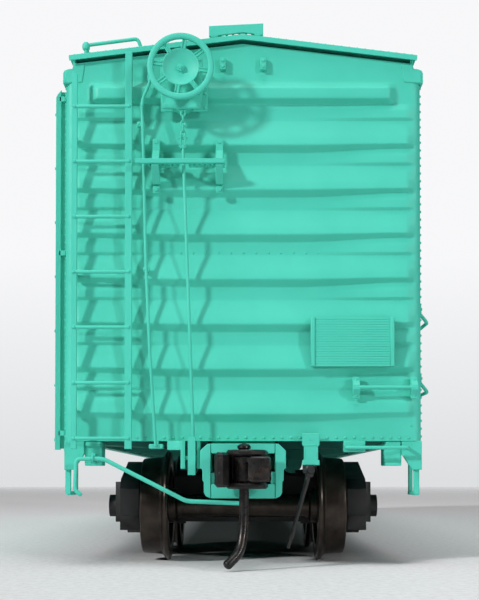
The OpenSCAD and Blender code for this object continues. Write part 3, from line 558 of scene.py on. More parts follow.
def corrugated_end():
    """The pressed end sheet: folds worked out at each place across the car, bent back round the corners."""
    turn = HALF_W - CORNER_R + CORNER_R * np.sin(np.linspace(np.pi / 2, 0, 9))
    flat = np.concatenate([np.linspace(HALF_W - CORNER_R, 13.2, 22)[1:], np.linspace(13.2, 0, 26)[1:]])
    right = np.concatenate([turn, flat])
    x = np.concatenate([-right, right[-2::-1]])
    folds = softened_folds(rib_controls(x))
    across = np.broadcast_to(x[:, None], folds.shape[:2])
    y = -HALF_L + corner_back(across) - folds[..., 1]
    front = np.stack([across, y, folds[..., 0]], -1)
    back = front.copy()
    back[..., 1] = -HALF_L + WALL
    return [slab(front, back)]


def end_rivets():
    """Rows of rivets: along the foot, along the seam of the two end sheets, and up the posts beside the rib ends."""
    lows = RIB_LOW + PITCH * np.arange(RIBS)
    heights = np.concatenate([lows - 0.3, lows + 2.45])
    rows = [(spots(np.arange(-15.9, 15.95, 0.85), -HALF_L, FOOT + 0.32), 0.15, 0.09),
            (spots(np.arange(-15.3, 15.4, 1.18), -HALF_L, SEAM + 0.12), 0.12, 0.07),
            (spots(-15.75, -HALF_L, heights), 0.12, 0.08), (spots(15.75, -HALF_L, heights), 0.12, 0.08)]
    return [domes(row, (0, -1, 0), r, tall) for row, r, tall in rows]


def corner_caps():
    """Thin caps of the eave lapping over the top corners of the end, with a joint line below and inside."""
    foot = 45.5
    outline = [(14.93, 1.85), (15.2, 0.1), (HALF_W + 0.02, 0), (HALF_W + 0.02, 1.05), (HALF_W - 0.12, 1.28),
               (HALF_W - 0.4, 1.36), (HALF_W - 0.74, 1.38), (HALF_W - 0.76, 1.7)]
    caps = moved([plate("y", outline, -0.08, 0.4, 0.05)], 0, -HALF_L, foot)
    return caps + mirrored(caps)


brake_end = corrugated_end() + end_rivets() + corner_caps()
painted("brake_end_sheet", brake_end, "end_brake", smooth=30)
painted("plain_end_sheet", turned(brake_end), "end_plain", smooth=30)

# ---------- body: roof and running board ----------
PANELS = 12


def roof_relief(x, y):
    """Height of the pressings on the roof: caps over the panel seams and one long diagonal rib in each half panel."""
    pitch = 2 * HALF_L / PANELS
    place = (y + HALF_L) / pitch
    gap = np.abs(place - np.round(place)) * pitch
    edge = step01((HALF_W - 0.75 - np.abs(x)) / 0.5)
    inner = (np.abs(y) < HALF_L - 1.0)
    cap = 0.2 * step01((0.55 - gap) / 0.22) * edge * inner
    v = place - np.floor(place) - 0.5
    middle, reach = 8.6, 11.5
    u = (np.abs(x) - middle) / reach
    far = np.abs(v + u * np.sign(x)) * pitch * 0.72
    ends = step01((6.3 - np.abs(np.abs(x) - middle)) / 0.8)
    rib = 0.26 * step01((0.95 - far) / 0.8) * ends * (np.abs(y) < HALF_L)
    return np.maximum(cap, rib)


def roof_sheet():
    """The pitched roof: the upper side carries the pressings, the lower side drops to a lip at each end."""
    out = HALF_W - 0.42
    top = np.concatenate([np.linspace(-out, -0.9, 62), [-0.4, 0, 0.4], np.linspace(0.9, out, 62)])
    lip = EDGE_L - np.array([0, 0.06, 0.14, 0.17])
    y = np.concatenate([-lip, np.linspace(-EDGE_L + 0.3, EDGE_L - 0.3, 416), lip[::-1]])
    xx, yy = np.meshgrid(top, y)
    z = EAVE + ROOF_RISE * (1 - np.abs(xx) / out) + roof_relief(xx, yy)
    lift = np.zeros_like(z)
    lift[[0, -1]] = -0.06
    upper = np.stack([xx, yy, z + lift], -1)
    across = np.array([out, out - 0.05, 8, 0, -8, -out + 0.05, -out])
    drop = np.where(np.abs(y) > EDGE_L - 0.15, 0.5, 0.2)[:, None]
    under = EAVE + ROOF_RISE * (1 - np.abs(across) / out) - drop * np.array([0.6, 1, 1, 1, 1, 1, 0.6])
    lower = np.stack([np.broadcast_to(across, under.shape), np.broadcast_to(y[:, None], under.shape), under], -1)
    return [skin(np.concatenate([upper, lower], 1))]


def eave_rails():
    """The folded edges of the roof along the sides, as one section carried from end to end."""
    section = [(-0.74, -0.2), (-0.74, -1.1), (-0.25, -1.16), (0.08, -1.28), (0.2, -1.55), (0.2, -2.5), (0, -2.5),
               (0, -1.7), (-WALL, -1.6), (-WALL, -0.3)]
    rail = moved([plate("y", section, -HALF_L - 0.02, HALF_L + 0.02, 0.04)], HALF_W, 0, EAVE)
    return rail + mirrored(rail)


def roof_rivets():
    """Rivets along the top edges of the roof at both ends and along the eaves, and on the flanges of the seam caps."""
    x, y = np.arange(-15.9, 16, 0.74), np.arange(-HALF_L + 0.5, HALF_L, 0.74)
    x = x[(x < board_low[0] - 0.2) | (x > board_high[0] - 0.1)]
    made = []
    for s in (-1, 1):
        made += [domes(spots(x, s * (EDGE_L - 0.28), roof_at(x)), (0, 0, 1), 0.14, 0.1),
                 domes(spots(s * (HALF_W + 0.2), y, EAVE - 2.1), (s, 0, 0), 0.13, 0.09)]
    cross = np.concatenate([np.arange(-15.4, -2.9, 1.05), np.arange(2.9, 15.5, 1.05)])
    seams = -HALF_L + 2 * HALF_L / PANELS * np.arange(1, PANELS)
    xx, yy = [g.ravel() for g in np.meshgrid(cross, np.concatenate([seams - 0.75, seams + 0.75]))]
    return made + [domes(spots(xx, yy, roof_at(xx)), (0, 0, 1), 0.11, 0.07)]


painted("roof_sheet", roof_sheet() + eave_rails() + roof_rivets(), "roof", smooth=30)


def running_board():
    """An open grating: side rails, long bars and cross bars, on saddles that follow the roof, and end braces."""
    x0, x1 = board_low[0], board_high[0] - 0.3
    top, low, side = board_high[2], board_high[2] - 0.5, EDGE_L - 0.1
    level = lambda x: top - 0.25 * (x1 - x) / (x1 - x0)
    bars, rungs = np.linspace(x0 + 0.4, x1 - 0.4, 8)[1:-1], np.linspace(0.35 - EDGE_L, EDGE_L - 0.35, 150)
    parts = [box((x0 + 0.02, -side, low), (x0 + 0.4, side, level(x0) - 0.02)),
             box((x1 - 0.4, -side, low), (x1 - 0.02, side, level(x1) - 0.05)),
             boxes(spots(bars - 0.11, -side, low + 0.05), spots(bars + 0.11, side, level(bars) - 0.03), 0.03),
             boxes(spots(x0 + 0.3, rungs - 0.12, low + 0.08), spots(x1 - 0.3, rungs + 0.12, level(x0) - 0.06), 0.03)]
    saddle = [(x0 + 0.2, low + 0.03), (x0 + 0.2, roof_at(x0 + 0.2) + 0.02), (x0 + 0.8, roof_at(x0 + 0.8)),
              (x0 + 1.1, low - 0.2), (x1 - 1.1, low - 0.2), (x1 - 0.8, roof_at(x1 - 0.8)),
              (x1 - 0.2, roof_at(x1 - 0.2)), (x1 - 0.2, low + 0.03)]
    parts += [plate("y", saddle, y - 0.24, y + 0.24, 0.04) for y in np.linspace(0.25 - EDGE_L, EDGE_L - 0.25, 13)]
    face = [(x0, roof_at(x0) + 0.12), (0, RIDGE + 0.12), (x1, roof_at(x1) + 0.12), (x1, level(x1)), (x0, level(x0))]
    for s in (-1, 1):
        parts.append(plate("y", face, s * EDGE_L, s * (EDGE_L - 0.25), 0.05))
        for x in (-1.9, 1.9):
            front = s * (HALF_L + 0.5)
            parts += [box((x - 0.29, s * HALF_L - 0.02, RIDGE - 3.35), (x + 0.29, front, RIDGE - 2.2), 0.05),
                      nuts([(x, front, RIDGE - 3.05), (x, front, RIDGE - 2.5)], (0, s, 0), 0.16, 0.08)]
    return parts


painted("running_board_grating", running_board(), "running_board")

# ---------- body: sides, doors ----------
door_low, door_high = span("door_right")
# Half the door opening, and the pitch of the posts between it and the corner.
OPENING = 20.9 / 2
POST_STEP = (HALF_L - WALL - OPENING) / 5


def side_details():
    """Rivets beside every post, up the corners and along the foot of the right-hand side."""
    posts = OPENING + POST_STEP * np.arange(1, 5)
    across = np.concatenate([posts - 0.42, posts + 0.42, [HALF_L - WALL - 0.35, OPENING + 0.45]])
    z = np.arange(FOOT + 0.5, EAVE - 2.7, 0.74)
    yy, zz = [g.ravel() for g in np.meshgrid(np.concatenate([across, -across]), z)]
    clear = (np.abs(yy) >= OPENING + 0.9) | (zz >= door_low[2] - 0.2)
    y = np.arange(-HALF_L + 1.4, HALF_L - 1.3, 0.74)
    corner = np.arange(FOOT + 0.45, EAVE - 2.6, 0.735)
    return [domes(spots(HALF_W, yy, zz)[clear], (1, 0, 0), 0.13, 0.1),
            domes(spots(HALF_W, y, FOOT + 0.28), (1, 0, 0), 0.13, 0.09)] + [
        domes(spots(HALF_W - 0.01, s * (HALF_L - 0.72), corner), (1, -s * 0.12, 0), 0.14, 0.11) for s in (-1, 1)]


def side_sheet():
    """The side: two flat panels with raised posts, a header and a sill round the door opening."""
    x0, x1, top = HALF_W - WALL, HALF_W, EAVE - 1.6
    across = OPENING + 0.3
    parts = [box((x0 + 0.01, -across, FOOT), (x1 - 0.01, across, door_low[2] + 0.5), 0.05),
             box((x0 + 0.01, -across, door_high[2] - 0.4), (x1 - 0.01, across, top), 0.05)]
    for s in (-1, 1):
        a, b = sorted((s * OPENING, s * (HALF_L - WALL)))
        posts = s * (OPENING + POST_STEP * np.arange(1, 5))
        parts += [box((x0, a, FOOT), (x1, b, top), 0.05),
                  boxes(spots(x1 - 0.1, posts - 0.25, FOOT + 1.0), spots(x1 + 0.08, posts + 0.25, top - 1.0), 0.04)]
    return parts


side_parts = side_sheet() + side_details()
painted("right_side_sheet", side_parts, "side_right")
painted("left_side_sheet", turned(side_parts), "side_left")


def door_leaf():
    """A pressed door: a row of rounded ridges inside a flat rim, with its frame, rivets, handle and hasp."""
    (x0, y0, z0), (_, y1, z1) = door_low, door_high
    x1 = x0 + 0.6
    z = np.linspace(z0 + 0.05, z1 - 0.05, 211)
    y = np.concatenate([np.linspace(y0 + 0.4, y0 + 1.6, 9), np.linspace(y0 + 1.9, y1 - 1.9, 15),
                        np.linspace(y1 - 1.6, y1 - 0.4, 9)])
    yy, zz = np.meshgrid(y, z, indexing="ij")
    phase = (zz - z0) / (z1 - z0) * 15
    ridge = step01(1 - np.abs(phase - np.floor(phase) - 0.5) / 0.36)
    ends = step01((np.minimum(yy - y0, y1 - yy) - 0.7) / 0.7) * step01((np.abs(yy) - 0.45) / 0.6)
    front = np.stack([x0 + 0.3 + 0.24 * ridge * ends, yy, zz], -1)
    back = front.copy()
    back[..., 0] = x0
    up = np.arange(z0 + 0.8, z1 - 0.5, 1.02)
    hand, grip = y1 - 3.2, z0 + 10.2
    handle = [(x1 - 0.15, hand, grip), (x1 + 0.2, hand, grip), (x1 + 0.2, hand, grip + 2), (x1 - 0.15, hand, grip + 2)]
    return [slab(front, back),
            boxes([(x0, y0, z0), (x0, y1 - 0.6, z0), (x0 + 0.1, -0.3, z0 + 0.02)],
                  [(x1, y0 + 0.6, z1), (x1, y1, z1), (x1 - 0.02, 0.3, z1 - 0.02)], 0.06),
            boxes([(x0, y0, z0), (x0, y0, z1 - 0.55)], [(x1 - 0.01, y1, z0 + 0.55), (x1 - 0.01, y1, z1)], 0.06),
            domes(spots(x1, y0 + 0.3, up), (1, 0, 0), 0.11, 0.06),
            domes(spots(x1, y1 - 0.3, up), (1, 0, 0), 0.11, 0.06),
            tube(handle, 0.24, 0.15, 10), box((x1 - 0.1, y1 - 1.6, z0 + 8.4), (x1 + 0.16, y1 - 0.2, z0 + 9.0), 0.05)]


leaf = door_leaf()
painted("right_door_leaf", leaf, "door_right", "door_right_leaf")
painted("left_door_leaf", turned(leaf), "door_left", "door_left_leaf")


def door_tracks():
    """Upper and lower tracks as bent channel sections, with bolts along them."""
    (x0, y0, low), (x1, y1, high) = span("door_tracks_right")
    lip = x1 - 0.22
    bottom = [(x0, low), (x1, low), (x1, low + 0.75), (lip, low + 0.75), (lip, low + 0.4), (x0, low + 0.4)]
    top = [(x0, high), (x1, high), (x1, high - 0.9), (lip, high - 0.9), (lip, high - 0.4), (x0, high - 0.4)]
    y = np.arange(y0 + 1.0, y1, 2.4)
    return [plate("y", section, y0, y1, 0.04) for section in (bottom, top)] + [
        nuts(spots(x1 - 0.02, y, z), (1, 0, 0), 0.14, 0.02) for z in (low + 0.36, high - 0.25)]


tracks = door_tracks()
painted("right_door_tracks", tracks, "door_tracks_right")
painted("left_door_tracks", turned(tracks), "door_tracks_left")

# ---------- ladders and grab irons ----------
# The plane of the end ladders' fronts, then the rungs: their diameter, lowest height and pitch.
LADDER_Y = span("end_ladders")[0][1]
RUNG = 0.34
RUNG_LOW = FOOT + 0.2
RUNG_STEP = 5.16


def end_ladder():
    """Two flat stiles, seven round rungs with bolt heads at their ends, and feet on the crests of the ribs."""
    xo, y0, low = -HALF_W + 1.1, LADDER_Y, RUNG_LOW - 1
    xi = xo + 5.05
    outer = [(xo - 0.27, low), (xo + 0.27, low), (xo + 0.27, EAVE - 2.15), (xo - 0.02, EAVE - 1.8),
             (xo - 0.27, EAVE - 1.95)]
    inner = [(xi - 0.33, low), (xi + 0.33, low), (xi + 0.33, EAVE), (xi - 0.33, EAVE - 0.02)]
    parts = [plate("y", outer, y0 + 0.02, y0 + 0.3, 0.05), plate("y", inner, y0, y0 + 0.3, 0.05)]
    for z in RUNG_LOW + RUNG_STEP * np.arange(7):
        parts += [tube([(xo - 0.1, y0 + 0.1, z), (xi + 0.1, y0 + 0.1, z)], RUNG),
                  domes([(xo, y0 + 0.02, z), (xi, y0 + 0.02, z)], (0, -1, 0), 0.2, 0.14)]
    for x in (xo, xi):
        for z in RIB_LOW + PITCH * np.array([0, 3, 6]) + 0.74:
            parts.append(box((x - 0.25, y0 + 0.2, z), (x + 0.25, -HALF_L - 0.55, z + 0.5)))
    return parts


def side_ladder():
    """The ladder on the side: stiles cut to a slant at the top, rungs, bolt heads on the outside and stand-off feet."""
    x0, low, ends = span("side_ladders")[0][0], RUNG_LOW - 1, (-HALF_L + 0.9, -HALF_L + 5.95)
    outline = [(x0, low), (x0 + 0.5, low), (x0 + 0.5, EAVE - 2.9), (x0 + 0.15, EAVE - 3.3), (x0, EAVE - 3.6)]
    parts = []
    for y in ends:
        parts += [plate("y", outline, y - 0.25, y + 0.05, 0.04),
                  box((x0 + 0.02, y - 0.23, low + 0.02), (x0 + 0.16, y + 0.25, EAVE - 3.65), 0.03),
                  box((x0 + 0.42, y + 0.02, low + 0.1), (-HALF_W + 0.02, y + 0.12, EAVE - 3.0), 0.03)]
        for z in (RUNG_LOW + 0.3, SEAM, EAVE - 4):
            parts.append(box((x0 + 0.3, y - 0.25, z), (-HALF_W, y + 0.25, z + 0.5)))
    for z in RUNG_LOW - 0.05 + RUNG_STEP * np.arange(7):
        parts += [tube([(x0 + 0.2, y, z) for y in ends], RUNG),
                  domes([(x0, y, z) for y in ends], (-1, 0, 0), 0.19, 0.11)]
    return parts


painted("end_ladders", both(end_ladder()))
painted("side_ladders", both(side_ladder()))


def side_grabs():
    """Two drop grab irons near the left corner of each side, with a bolt plate at each foot."""
    a, b = -HALF_L + 1.4, -HALF_L + 6
    parts = [tube([(0.02, a, 0.6), (0.75, a, -0.3), (0.75, b, -0.3), (0.02, b, 0.6)], RUNG, 0.4)]
    for y in (a, b):
        parts += [box((-0.05, y - 0.28, 0.2), (0.16, y + 0.28, 1.3), 0.06),
                  nuts([(0.16, y, 1.0)], (1, 0, 0), 0.15, 0.12)]
    return moved(parts, HALF_W, 0, FOOT + 5) + moved(parts, HALF_W, 0, FOOT + 11.6)


painted("side_grab_irons", both(side_grabs()), "side_grabs")


def end_grabs():
    """The bracketed grab iron on the end and the low one behind the corner iron."""
    ends = HALF_W - 6.25, HALF_W - 0.85
    side = [(-1.15, 5.4), (-1.35, 5.15), (-1.35, 4.75), (-1.15, 4.5), (-0.6, 3.95), (-0.55, 5.95)]
    parts = []
    for x in ends:
        parts += [plate("x", side, x - 0.33, x + 0.33, 0.05),
                  box((x - 0.34, -0.85, 3.93), (x + 0.34, -0.56, 5.97), 0.06),
                  domes([(x, -0.85, 5.67), (x, -0.85, 4.23)], (0, -1, 0), 0.16, 0.1)]
    a, b, z = HALF_W - 7.2, HALF_W - 1.4, -0.65
    parts += [tube([(ends[0] - 0.1, -1.2, 4.95), (ends[1] + 0.1, -1.2, 4.95)], RUNG),
              box((a - 0.2, -0.75, z - 0.4), (a + 1.8, 0.4, -0.01), 0.06),
              tube([(a, -0.4, z), (a, -1.0, z), (b, -1.0, z), (b, 0.05, z)], RUNG, 0.3),
              nuts([(a + 0.3, -0.75, z + 0.15), (a + 1.4, -0.75, z + 0.15)], (0, -1, 0), 0.16, 0.12)]
    return moved(parts, 0, -HALF_L, FOOT)


painted("end_grab_irons", both(end_grabs()), "end_grabs")


def roof_grabs():
    """Corner grab iron on the roof: a round post with an eye, and two rods that bend down to the sheet."""
    xp, xe = -HALF_W + 1.9, -HALF_W + 6.8
    low, far, foot = roof_at(xp), roof_at(xe), roof_at(xe + 0.4)
    post = [(-0.05, 0.05), (-0.05, 0.3), (0.08, 0.3), (0.14, 0.2), (0.6, 0.19), (0.72, 0.33), (0.95, 0.37),
            (1.2, 0.34), (1.38, 0.2), (1.42, 0.03)]
    across = [(xp + 0.05, 0, low + 1.12), (xe, 0, far + 1.15), (xe + 0.4, 0, foot + 0.02)]
    back = [(xp, 0.05, low + 0.85), (xp, 4.6, low + 0.85), (xp, 5, low + 0.02)]
    parts = [lathe(post, (xp, 0, low), "z", 20), tube(across, RUNG, 0.35), tube(back, RUNG, 0.35)]
    return moved(parts, 0, -HALF_L + 0.45, 0)


painted("roof_grab_irons", both(roof_grabs()), "roof_grabs")

# ---------- brake gear on the end ----------
wheel_low, wheel_high = span("brake_wheel")
BRAKE_X, _, BRAKE_Z = (wheel_low + wheel_high) / 2
BRAKE_Y = wheel_low[1]
# Heights of the brake step and of the foot of the tack board.
STEP_Z = EAVE - 10.6
BOARD_Z = FOOT + 6.9
BRAKE_R = (wheel_high[0] - wheel_low[0]) / 2


def brake_wheel():
    """A rim of flattened oval section, eight channel spokes, a dished hub and its nut, turned about the axle."""
    a = np.linspace(0, 2 * np.pi, 16, endpoint=False)
    blunt = lambda v: np.sign(v) * np.abs(v) ** 0.62
    along, out = 0.26 + 0.25 * blunt(np.sin(a)), BRAKE_R - 0.27 + 0.27 * blunt(np.cos(a))
    t = np.linspace(0, 2 * np.pi, 96, endpoint=False)[:, None]
    hub = [(0.72, 0.02), (0.72, 0.4), (0.67, 0.75), (0.56, 1.15), (0.38, 1.5), (0.28, 1.6), (0.26, 1.66), (0.3, 1.72),
           (0.42, 1.7), (0.66, 1.3), (0.86, 0.8), (0.95, 0.5), (1.0, 0.38), (1.95, 0.36), (1.95, 0.02)]
    nut = [(0.74, 0.35), (0.5, 0.35), (0.46, 0.3), (0.45, 0.18), (0.32, 0.17), (0.28, 0.13), (0.27, 0.02)]
    parts = [skin(spots(out * np.cos(t), along, out * np.sin(t)), loop=True),
             lathe(hub, (0, 0, 0), "y", 64), lathe(nut, (0, 0, 0), "y", 24)]
    rest = BRAKE_R - 0.25
    spoke = [(1.6, -0.3), (1.85, -0.2), (rest - 0.25, -0.2), (rest, -0.32), (rest, 0.32), (rest - 0.25, 0.2),
             (1.85, 0.2), (1.6, 0.3)]
    for angle in np.radians(45 * np.arange(8) - 8.5):
        turn = np.array([[np.cos(angle), np.sin(angle)], [-np.sin(angle), np.cos(angle)]])
        parts.append(plate("y", np.array(spoke) @ turn, 0.27, 0.5, 0.04))
        for off in (-0.15, 0.15):
            lip = np.array([(1.66, off - 0.05), (rest, off - 0.05), (rest, off + 0.05), (1.66, off + 0.05)])
            parts.append(plate("y", lip @ turn, 0.18, 0.3, 0.03))
    return moved(parts, BRAKE_X, BRAKE_Y, BRAKE_Z)


painted("brake_wheel", brake_wheel(), smooth=32)


def brake_housing():
    """The gear housing: a front plate with riveted corners, a deeper box behind it and a round case for the pinion."""
    (_, y0, z0), (x1, y1, z1) = span("brake_housing")
    xm, side = BRAKE_X, -HALF_L - 1.03
    front = [(xm - 1.95, z0 + 1.6), (xm - 1.75, z0), (xm + 1.75, z0), (xm + 1.95, z0 + 1.6), (xm + 1.95, z1),
             (xm - 1.95, z1)]
    case = [(0, 0.05), (0, 1.0), (0.1, 1.12), (0.85, 1.12), (0.85, 0.05)]
    corners = [(xm + dx, y0 + 0.02, z) for dx in (-1.5, 1.5) for z in (z0 + 0.35, z1 - 0.4)]
    return [plate("y", front, y0 + 0.02, y0 + 0.32, 0.07),
            box((xm - 1.6, y0 + 0.2, z0 + 0.9), (xm + 1.6, y1, z1 - 0.1), 0.1),
            box((xm - 2.0, side, z0 + 0.05), (x1, y1, BRAKE_Z + 0.2), 0.08),
            lathe(case, (xm + 0.1, y0 + 0.3, z0 + 0.9), "y", 40), domes(corners, (0, -1, 0), 0.2, 0.02),
            domes([(x1 - 0.25, side, z0 + up) for up in (0.4, 1.7, 3.0)], (0, -1, 0), 0.17, 0.1)]


painted("brake_housing", brake_housing())


def brake_chain():
    """Oval links turned alternately by a quarter turn, then a clevis with its pin round the top of the rod."""
    low, high = span("brake_chain")
    top, z1, z0 = high[2], high[2] - 2.45, low[2]
    parts = [hoop((0, 0, top - 0.36 - i * 0.48), 0.2, 0.17, (i % 2, 1 - i % 2, 0), 8, 16, 1.5) for i in range(5)]
    parts += [boxes([(-0.28, -0.2, z0), (0.12, -0.2, z0)], [(-0.12, 0.2, z1), (0.28, 0.2, z1)], 0.06),
              box((-0.26, -0.2, z0), (0.26, 0.2, z0 + 0.4), 0.08),
              tube([(-0.32, 0, z1 - 0.25), (0.32, 0, z1 - 0.25)], 0.2),
              tube([(-0.31, 0, z0 + 0.25), (0.31, 0, z0 + 0.25)], 0.22)]
    return moved(parts, BRAKE_X + 0.12, -HALF_L - 1.6, 0)


painted("brake_chain", brake_chain())
rod = [(BRAKE_X + 0.12, -HALF_L - 1.6, BRAKE_Z - 6.8), (BRAKE_X + 0.6, -HALF_L - 1.35, FOOT + 14),
       (BRAKE_X + 1.1, -HALF_L - 1.35, FOOT + 0.3)]
painted("brake_rod", [tube(rod, 0.3, 1.5)])


def retainer_pipe():
    """The thin pipe from the retaining valve down the end, held by clips, with the valve's small body at the top."""
    path = [(-8.65, EAVE - 2.2), (-8.75, EAVE - 3), (-9.45, EAVE - 4.6), (-9.3, EAVE - 9.3), (-9.05, SEAM - 1),
            (-8.7, FOOT + 8.8), (-8.1, FOOT - 0.5)]
    parts = [tube([(x, -1.15, z) for x, z in path], 0.3, 0.5)]
    for x0, x1, z in ((-9.9, -9.2, EAVE - 7), (-9.3, -8.7, SEAM - 1.9)):
        parts += [box((x0, -1.2, z), (x1, -0.6, z + 0.5), 0.08),
                  domes([(x0 + 0.15, -1.2, z + 0.25)], (0, -1, 0), 0.13, 0.08)]
    parts += [box((-8.75, -1.05, FOOT - 0.75), (-7.45, 0.4, FOOT - 0.32), 0.06),
              box((-8.3, -0.5, FOOT - 0.73), (-7.9, 0.4, FOOT)),
              box((-8.95, -1.05, EAVE - 2.6), (-8.35, -0.7, EAVE - 2.0), 0.1)]
    return moved(parts, 0, -HALF_L, 0)


painted("retainer_pipe", retainer_pipe())


def brake_step():
    """The step: an open board on two bent brackets whose feet are bolted to the ribs above and below."""
    front, back = -2.6, -0.95
    parts = [box((-9.95, front, -0.22), (-1.65, front + 0.4, 0.22)),
             box((-8.8, back - 0.3, -0.2), (-5.95, back, 0.2)), box((-5.05, back - 0.3, -0.2), (-1.67, back, 0.2))]
    slats = np.arange(-8.7, -1.7, 0.5)
    slats = slats[np.abs(slats - BRAKE_X - 0.2) > 0.6]
    parts.append(boxes(spots(slats - 0.1, front + 0.3, -0.16), spots(slats + 0.1, back - 0.1, 0.16), 0.03))
    strap = [(-0.7, 2.5), (-1.0, 2.5), (-1.05, 1.4), (-2.4, -0.1), (-2.4, -0.4), (-1.05, -1.75), (-0.7, -1.75),
             (-0.7, -1.3), (-2.0, -0.35), (-0.95, 0.1), (-0.7, 0.6)]
    for x in (-8.1, -2.2):
        parts.append(plate("x", strap, x - 0.35, x + 0.35, 0.05))
        for z in (2.2, -2.25):
            parts += [box((x - 0.34, -0.95, z - 0.35), (x + 0.34, -0.6, z + 0.35), 0.08),
                      nuts([(x, -0.95, z)], (0, -1, 0), 0.2, 0.14)]
    return moved(parts, 0, -HALF_L, STEP_Z)


painted("brake_step", brake_step())


def tack_boards():
    """A board of narrow slats between two raised side strips."""
    x0, x1, top = 6.3, 14.1, 4.6
    front, back = -1.07, -0.72
    rows = np.linspace(0, top, 21)
    strips = [(x0, front - 0.12, 0), (x1 - 0.4, front - 0.12, 0)], [(x0 + 0.4, back, top), (x1, back, top)]
    parts = [box((x0 + 0.05, front + 0.04, 0.05), (x1 - 0.05, back, top - 0.05), 0.03),
             boxes(spots(x0 + 0.3, front, rows[:-1] + 0.006), spots(x1 - 0.3, back, rows[1:] - 0.006), 0.018),
             boxes(*strips, 0.07)]
    return moved(parts, 0, -HALF_L, BOARD_Z)


painted("tack_boards", both(tack_boards()))


def corner_irons():
    """The pull plate at the foot of each corner, its box bracket, and a gusset beside it."""
    edge, a, b = HALF_W - 0.02, HALF_W - 3.5, HALF_W - 1.9
    outline = [(edge, 0.02), (edge, -2.7), (HALF_W - 0.9, -2.7), (b, -1.2), (b, 0.02)]
    parts = [plate("y", outline, 0.05, 0.6), box((a, 0.3, -2.3), (b, 3, -0.02), 0.08),
             box((a + 0.06, 0.1, -2.32), (b - 0.06, 0.5, -2.05)), box((a + 0.1, 0.1, -0.5), (b - 0.1, 0.5, -0.03))]
    return moved(parts + mirrored(parts), 0, -HALF_L, FOOT)


painted("corner_irons", both(corner_irons()))


def stirrups():
    """A flat strap bent to a U below each corner: down, along and up again, its section constant."""
    parts = []
    for x in (0.4 - HALF_W, HALF_W - 0.4):
        parts += [box((x - 0.34, 0.4, -5.0), (x + 0.2, 0.75, -2.6), 0.08),
                  box((x - 0.2, 4.4, -5.05), (x + 0.2, 4.9, 0), 0.07),
                  box((x - 0.24, 0.45, -5.1), (x + 0.2, 4.9, -4.75), 0.08)]
    return moved(parts, 0, -HALF_L, FOOT)


painted("stirrup_steps", both(stirrups()))


def cut_levers():
    """The uncoupling rod: a bent round bar from its handle at the corner to the coupler, in an eye below the sill."""
    bar = [(-15, 0, -3.3), (-15.5, 0, -2.9), (-15.4, 0, 0), (-12.9, 0, 0), (-5.2, -0.4, -3.9), (-0.2, -0.4, -4.1)]
    parts = [tube(bar, 0.4, 0.45), box((-14.05, 0.15, -0.4), (-13.65, 1.9, 0.5), 0.06),
             hoop((-13.85, 0, 0), 0.3, 0.16, (1, 0, 0), 8, 20)]
    return moved(parts, 0, -HALF_L - 1.6, FOOT - 1.7)


painted("cut_levers", both(cut_levers()))


def air_hoses():
    """Angle cock with its plug, and a hose that narrows towards the ferrule at its end."""
    cock = [(0, 0.06), (0, 0.32), (0.12, 0.4), (0.5, 0.44), (0.62, 0.48), (0.95, 0.48), (1.1, 0.4), (1.1, 0.05)]
    plug = [(0, 0.03), (0, 0.3), (0.12, 0.38), (0.5, 0.38), (0.6, 0.28), (0.6, 0.03)]
    hose = [(6.1, 0.1, -3.1), (5.75, 0, -4.4), (4.55, -0.2, -8.7), (4.2, -0.2, -9.9)]
    parts = [lathe(cock, (6.15, 0.1, -3.4), "z", 24), box((5.55, -0.35, -3.05), (6.0, 0.25, -2.6), 0.1),
             lathe(plug, (6.3, -0.45, -2.75), "y", 20),
             tube(hose, [0.5, 0.46, 0.42, 0.42, 0.4, 0.38, 0.34, 0.3], 0.8)]
    y = -HALF_L - 0.9
    ferrule = tube([(4.72, y - 0.17, FOOT - 8.15), (4.5, y - 0.2, FOOT - 8.9)], [0.46, 0.5, 0.46], 0.2)
    return moved(parts, 0, y, FOOT) + [ferrule]


def hose_brackets():
    """The bracket plate that carries the angle cock, with folded edges and a bolt."""
    outline = [(5.5, 0.7), (7.12, 0.7), (7.12, -0.4), (6.98, -0.55), (6.98, -1.75), (7.12, -1.85), (7.12, -2.28),
               (5.52, -2.28), (5.52, -1.85), (5.66, -1.75), (5.66, -0.55), (5.5, -0.4)]
    folds = ([(5.66, -0.01, -1.75), (6.84, -0.01, -1.75), (5.6, -0.02, -0.5)],
             [(5.8, 0.3, -0.6), (6.98, 0.3, -0.6), (7.04, 0.3, -0.36)])
    parts = [plate("y", outline, 0.03, 0.4, 0.05), box((5.9, 0.3, -2.2), (6.8, 1.3, -0.02), 0.06),
             boxes(*folds, 0.04), nuts([(6.32, 0.03, 0.2)], (0, -1, 0), 0.22, 0.04)]
    return moved(parts, 0, -HALF_L - 0.9, FOOT)


piece("air_hoses", both(air_hoses()), hose_plastic, "carbody", ["air_hoses"])
painted("hose_brackets", both(hose_brackets()))

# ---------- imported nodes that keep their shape, with rounded edges ----------
for node, width in (("bell_crank", 0.11), ("body_bolsters", 0.06), ("center_sill", 0.06), ("crossbearers", 0.05),
                    ("floor", 0.05), ("air_reservoir", 0.14), ("brake_cylinder", 0.1), ("control_valve", 0.12),
                    ("train_pipe", 0.05)):
    # The underframe nodes take the darkened green, a painted shade for the shadow under the body; the bell crank keeps
    # the body's green.
    finish = green_paint if node == "bell_crank" else underframe_painted_shade_paint
    softened(node + "_painted", node, finish, "carbody", width)
softened("ballast_plate", "weight_plate", ballast_steel, "carbody", 0.08)
for end in ("brake", "plain"):
    for node in ("truck_bolster_" + end, "sideframe_" + end + "_left", "sideframe_" + end + "_right"):
        softened(node + "_moulding", node, black_plastic, "truck_" + end, 0.11)


# ---------- couplers ----------
# Height of the couplers, how far the striker stands out, where the head starts, and how far in the shank's pivot is.
COUPLER_Z = 9.0
BOX_OUT = 1.8
HEAD = HALF_L + BOX_OUT + 1
PIVOT_IN = 3.2


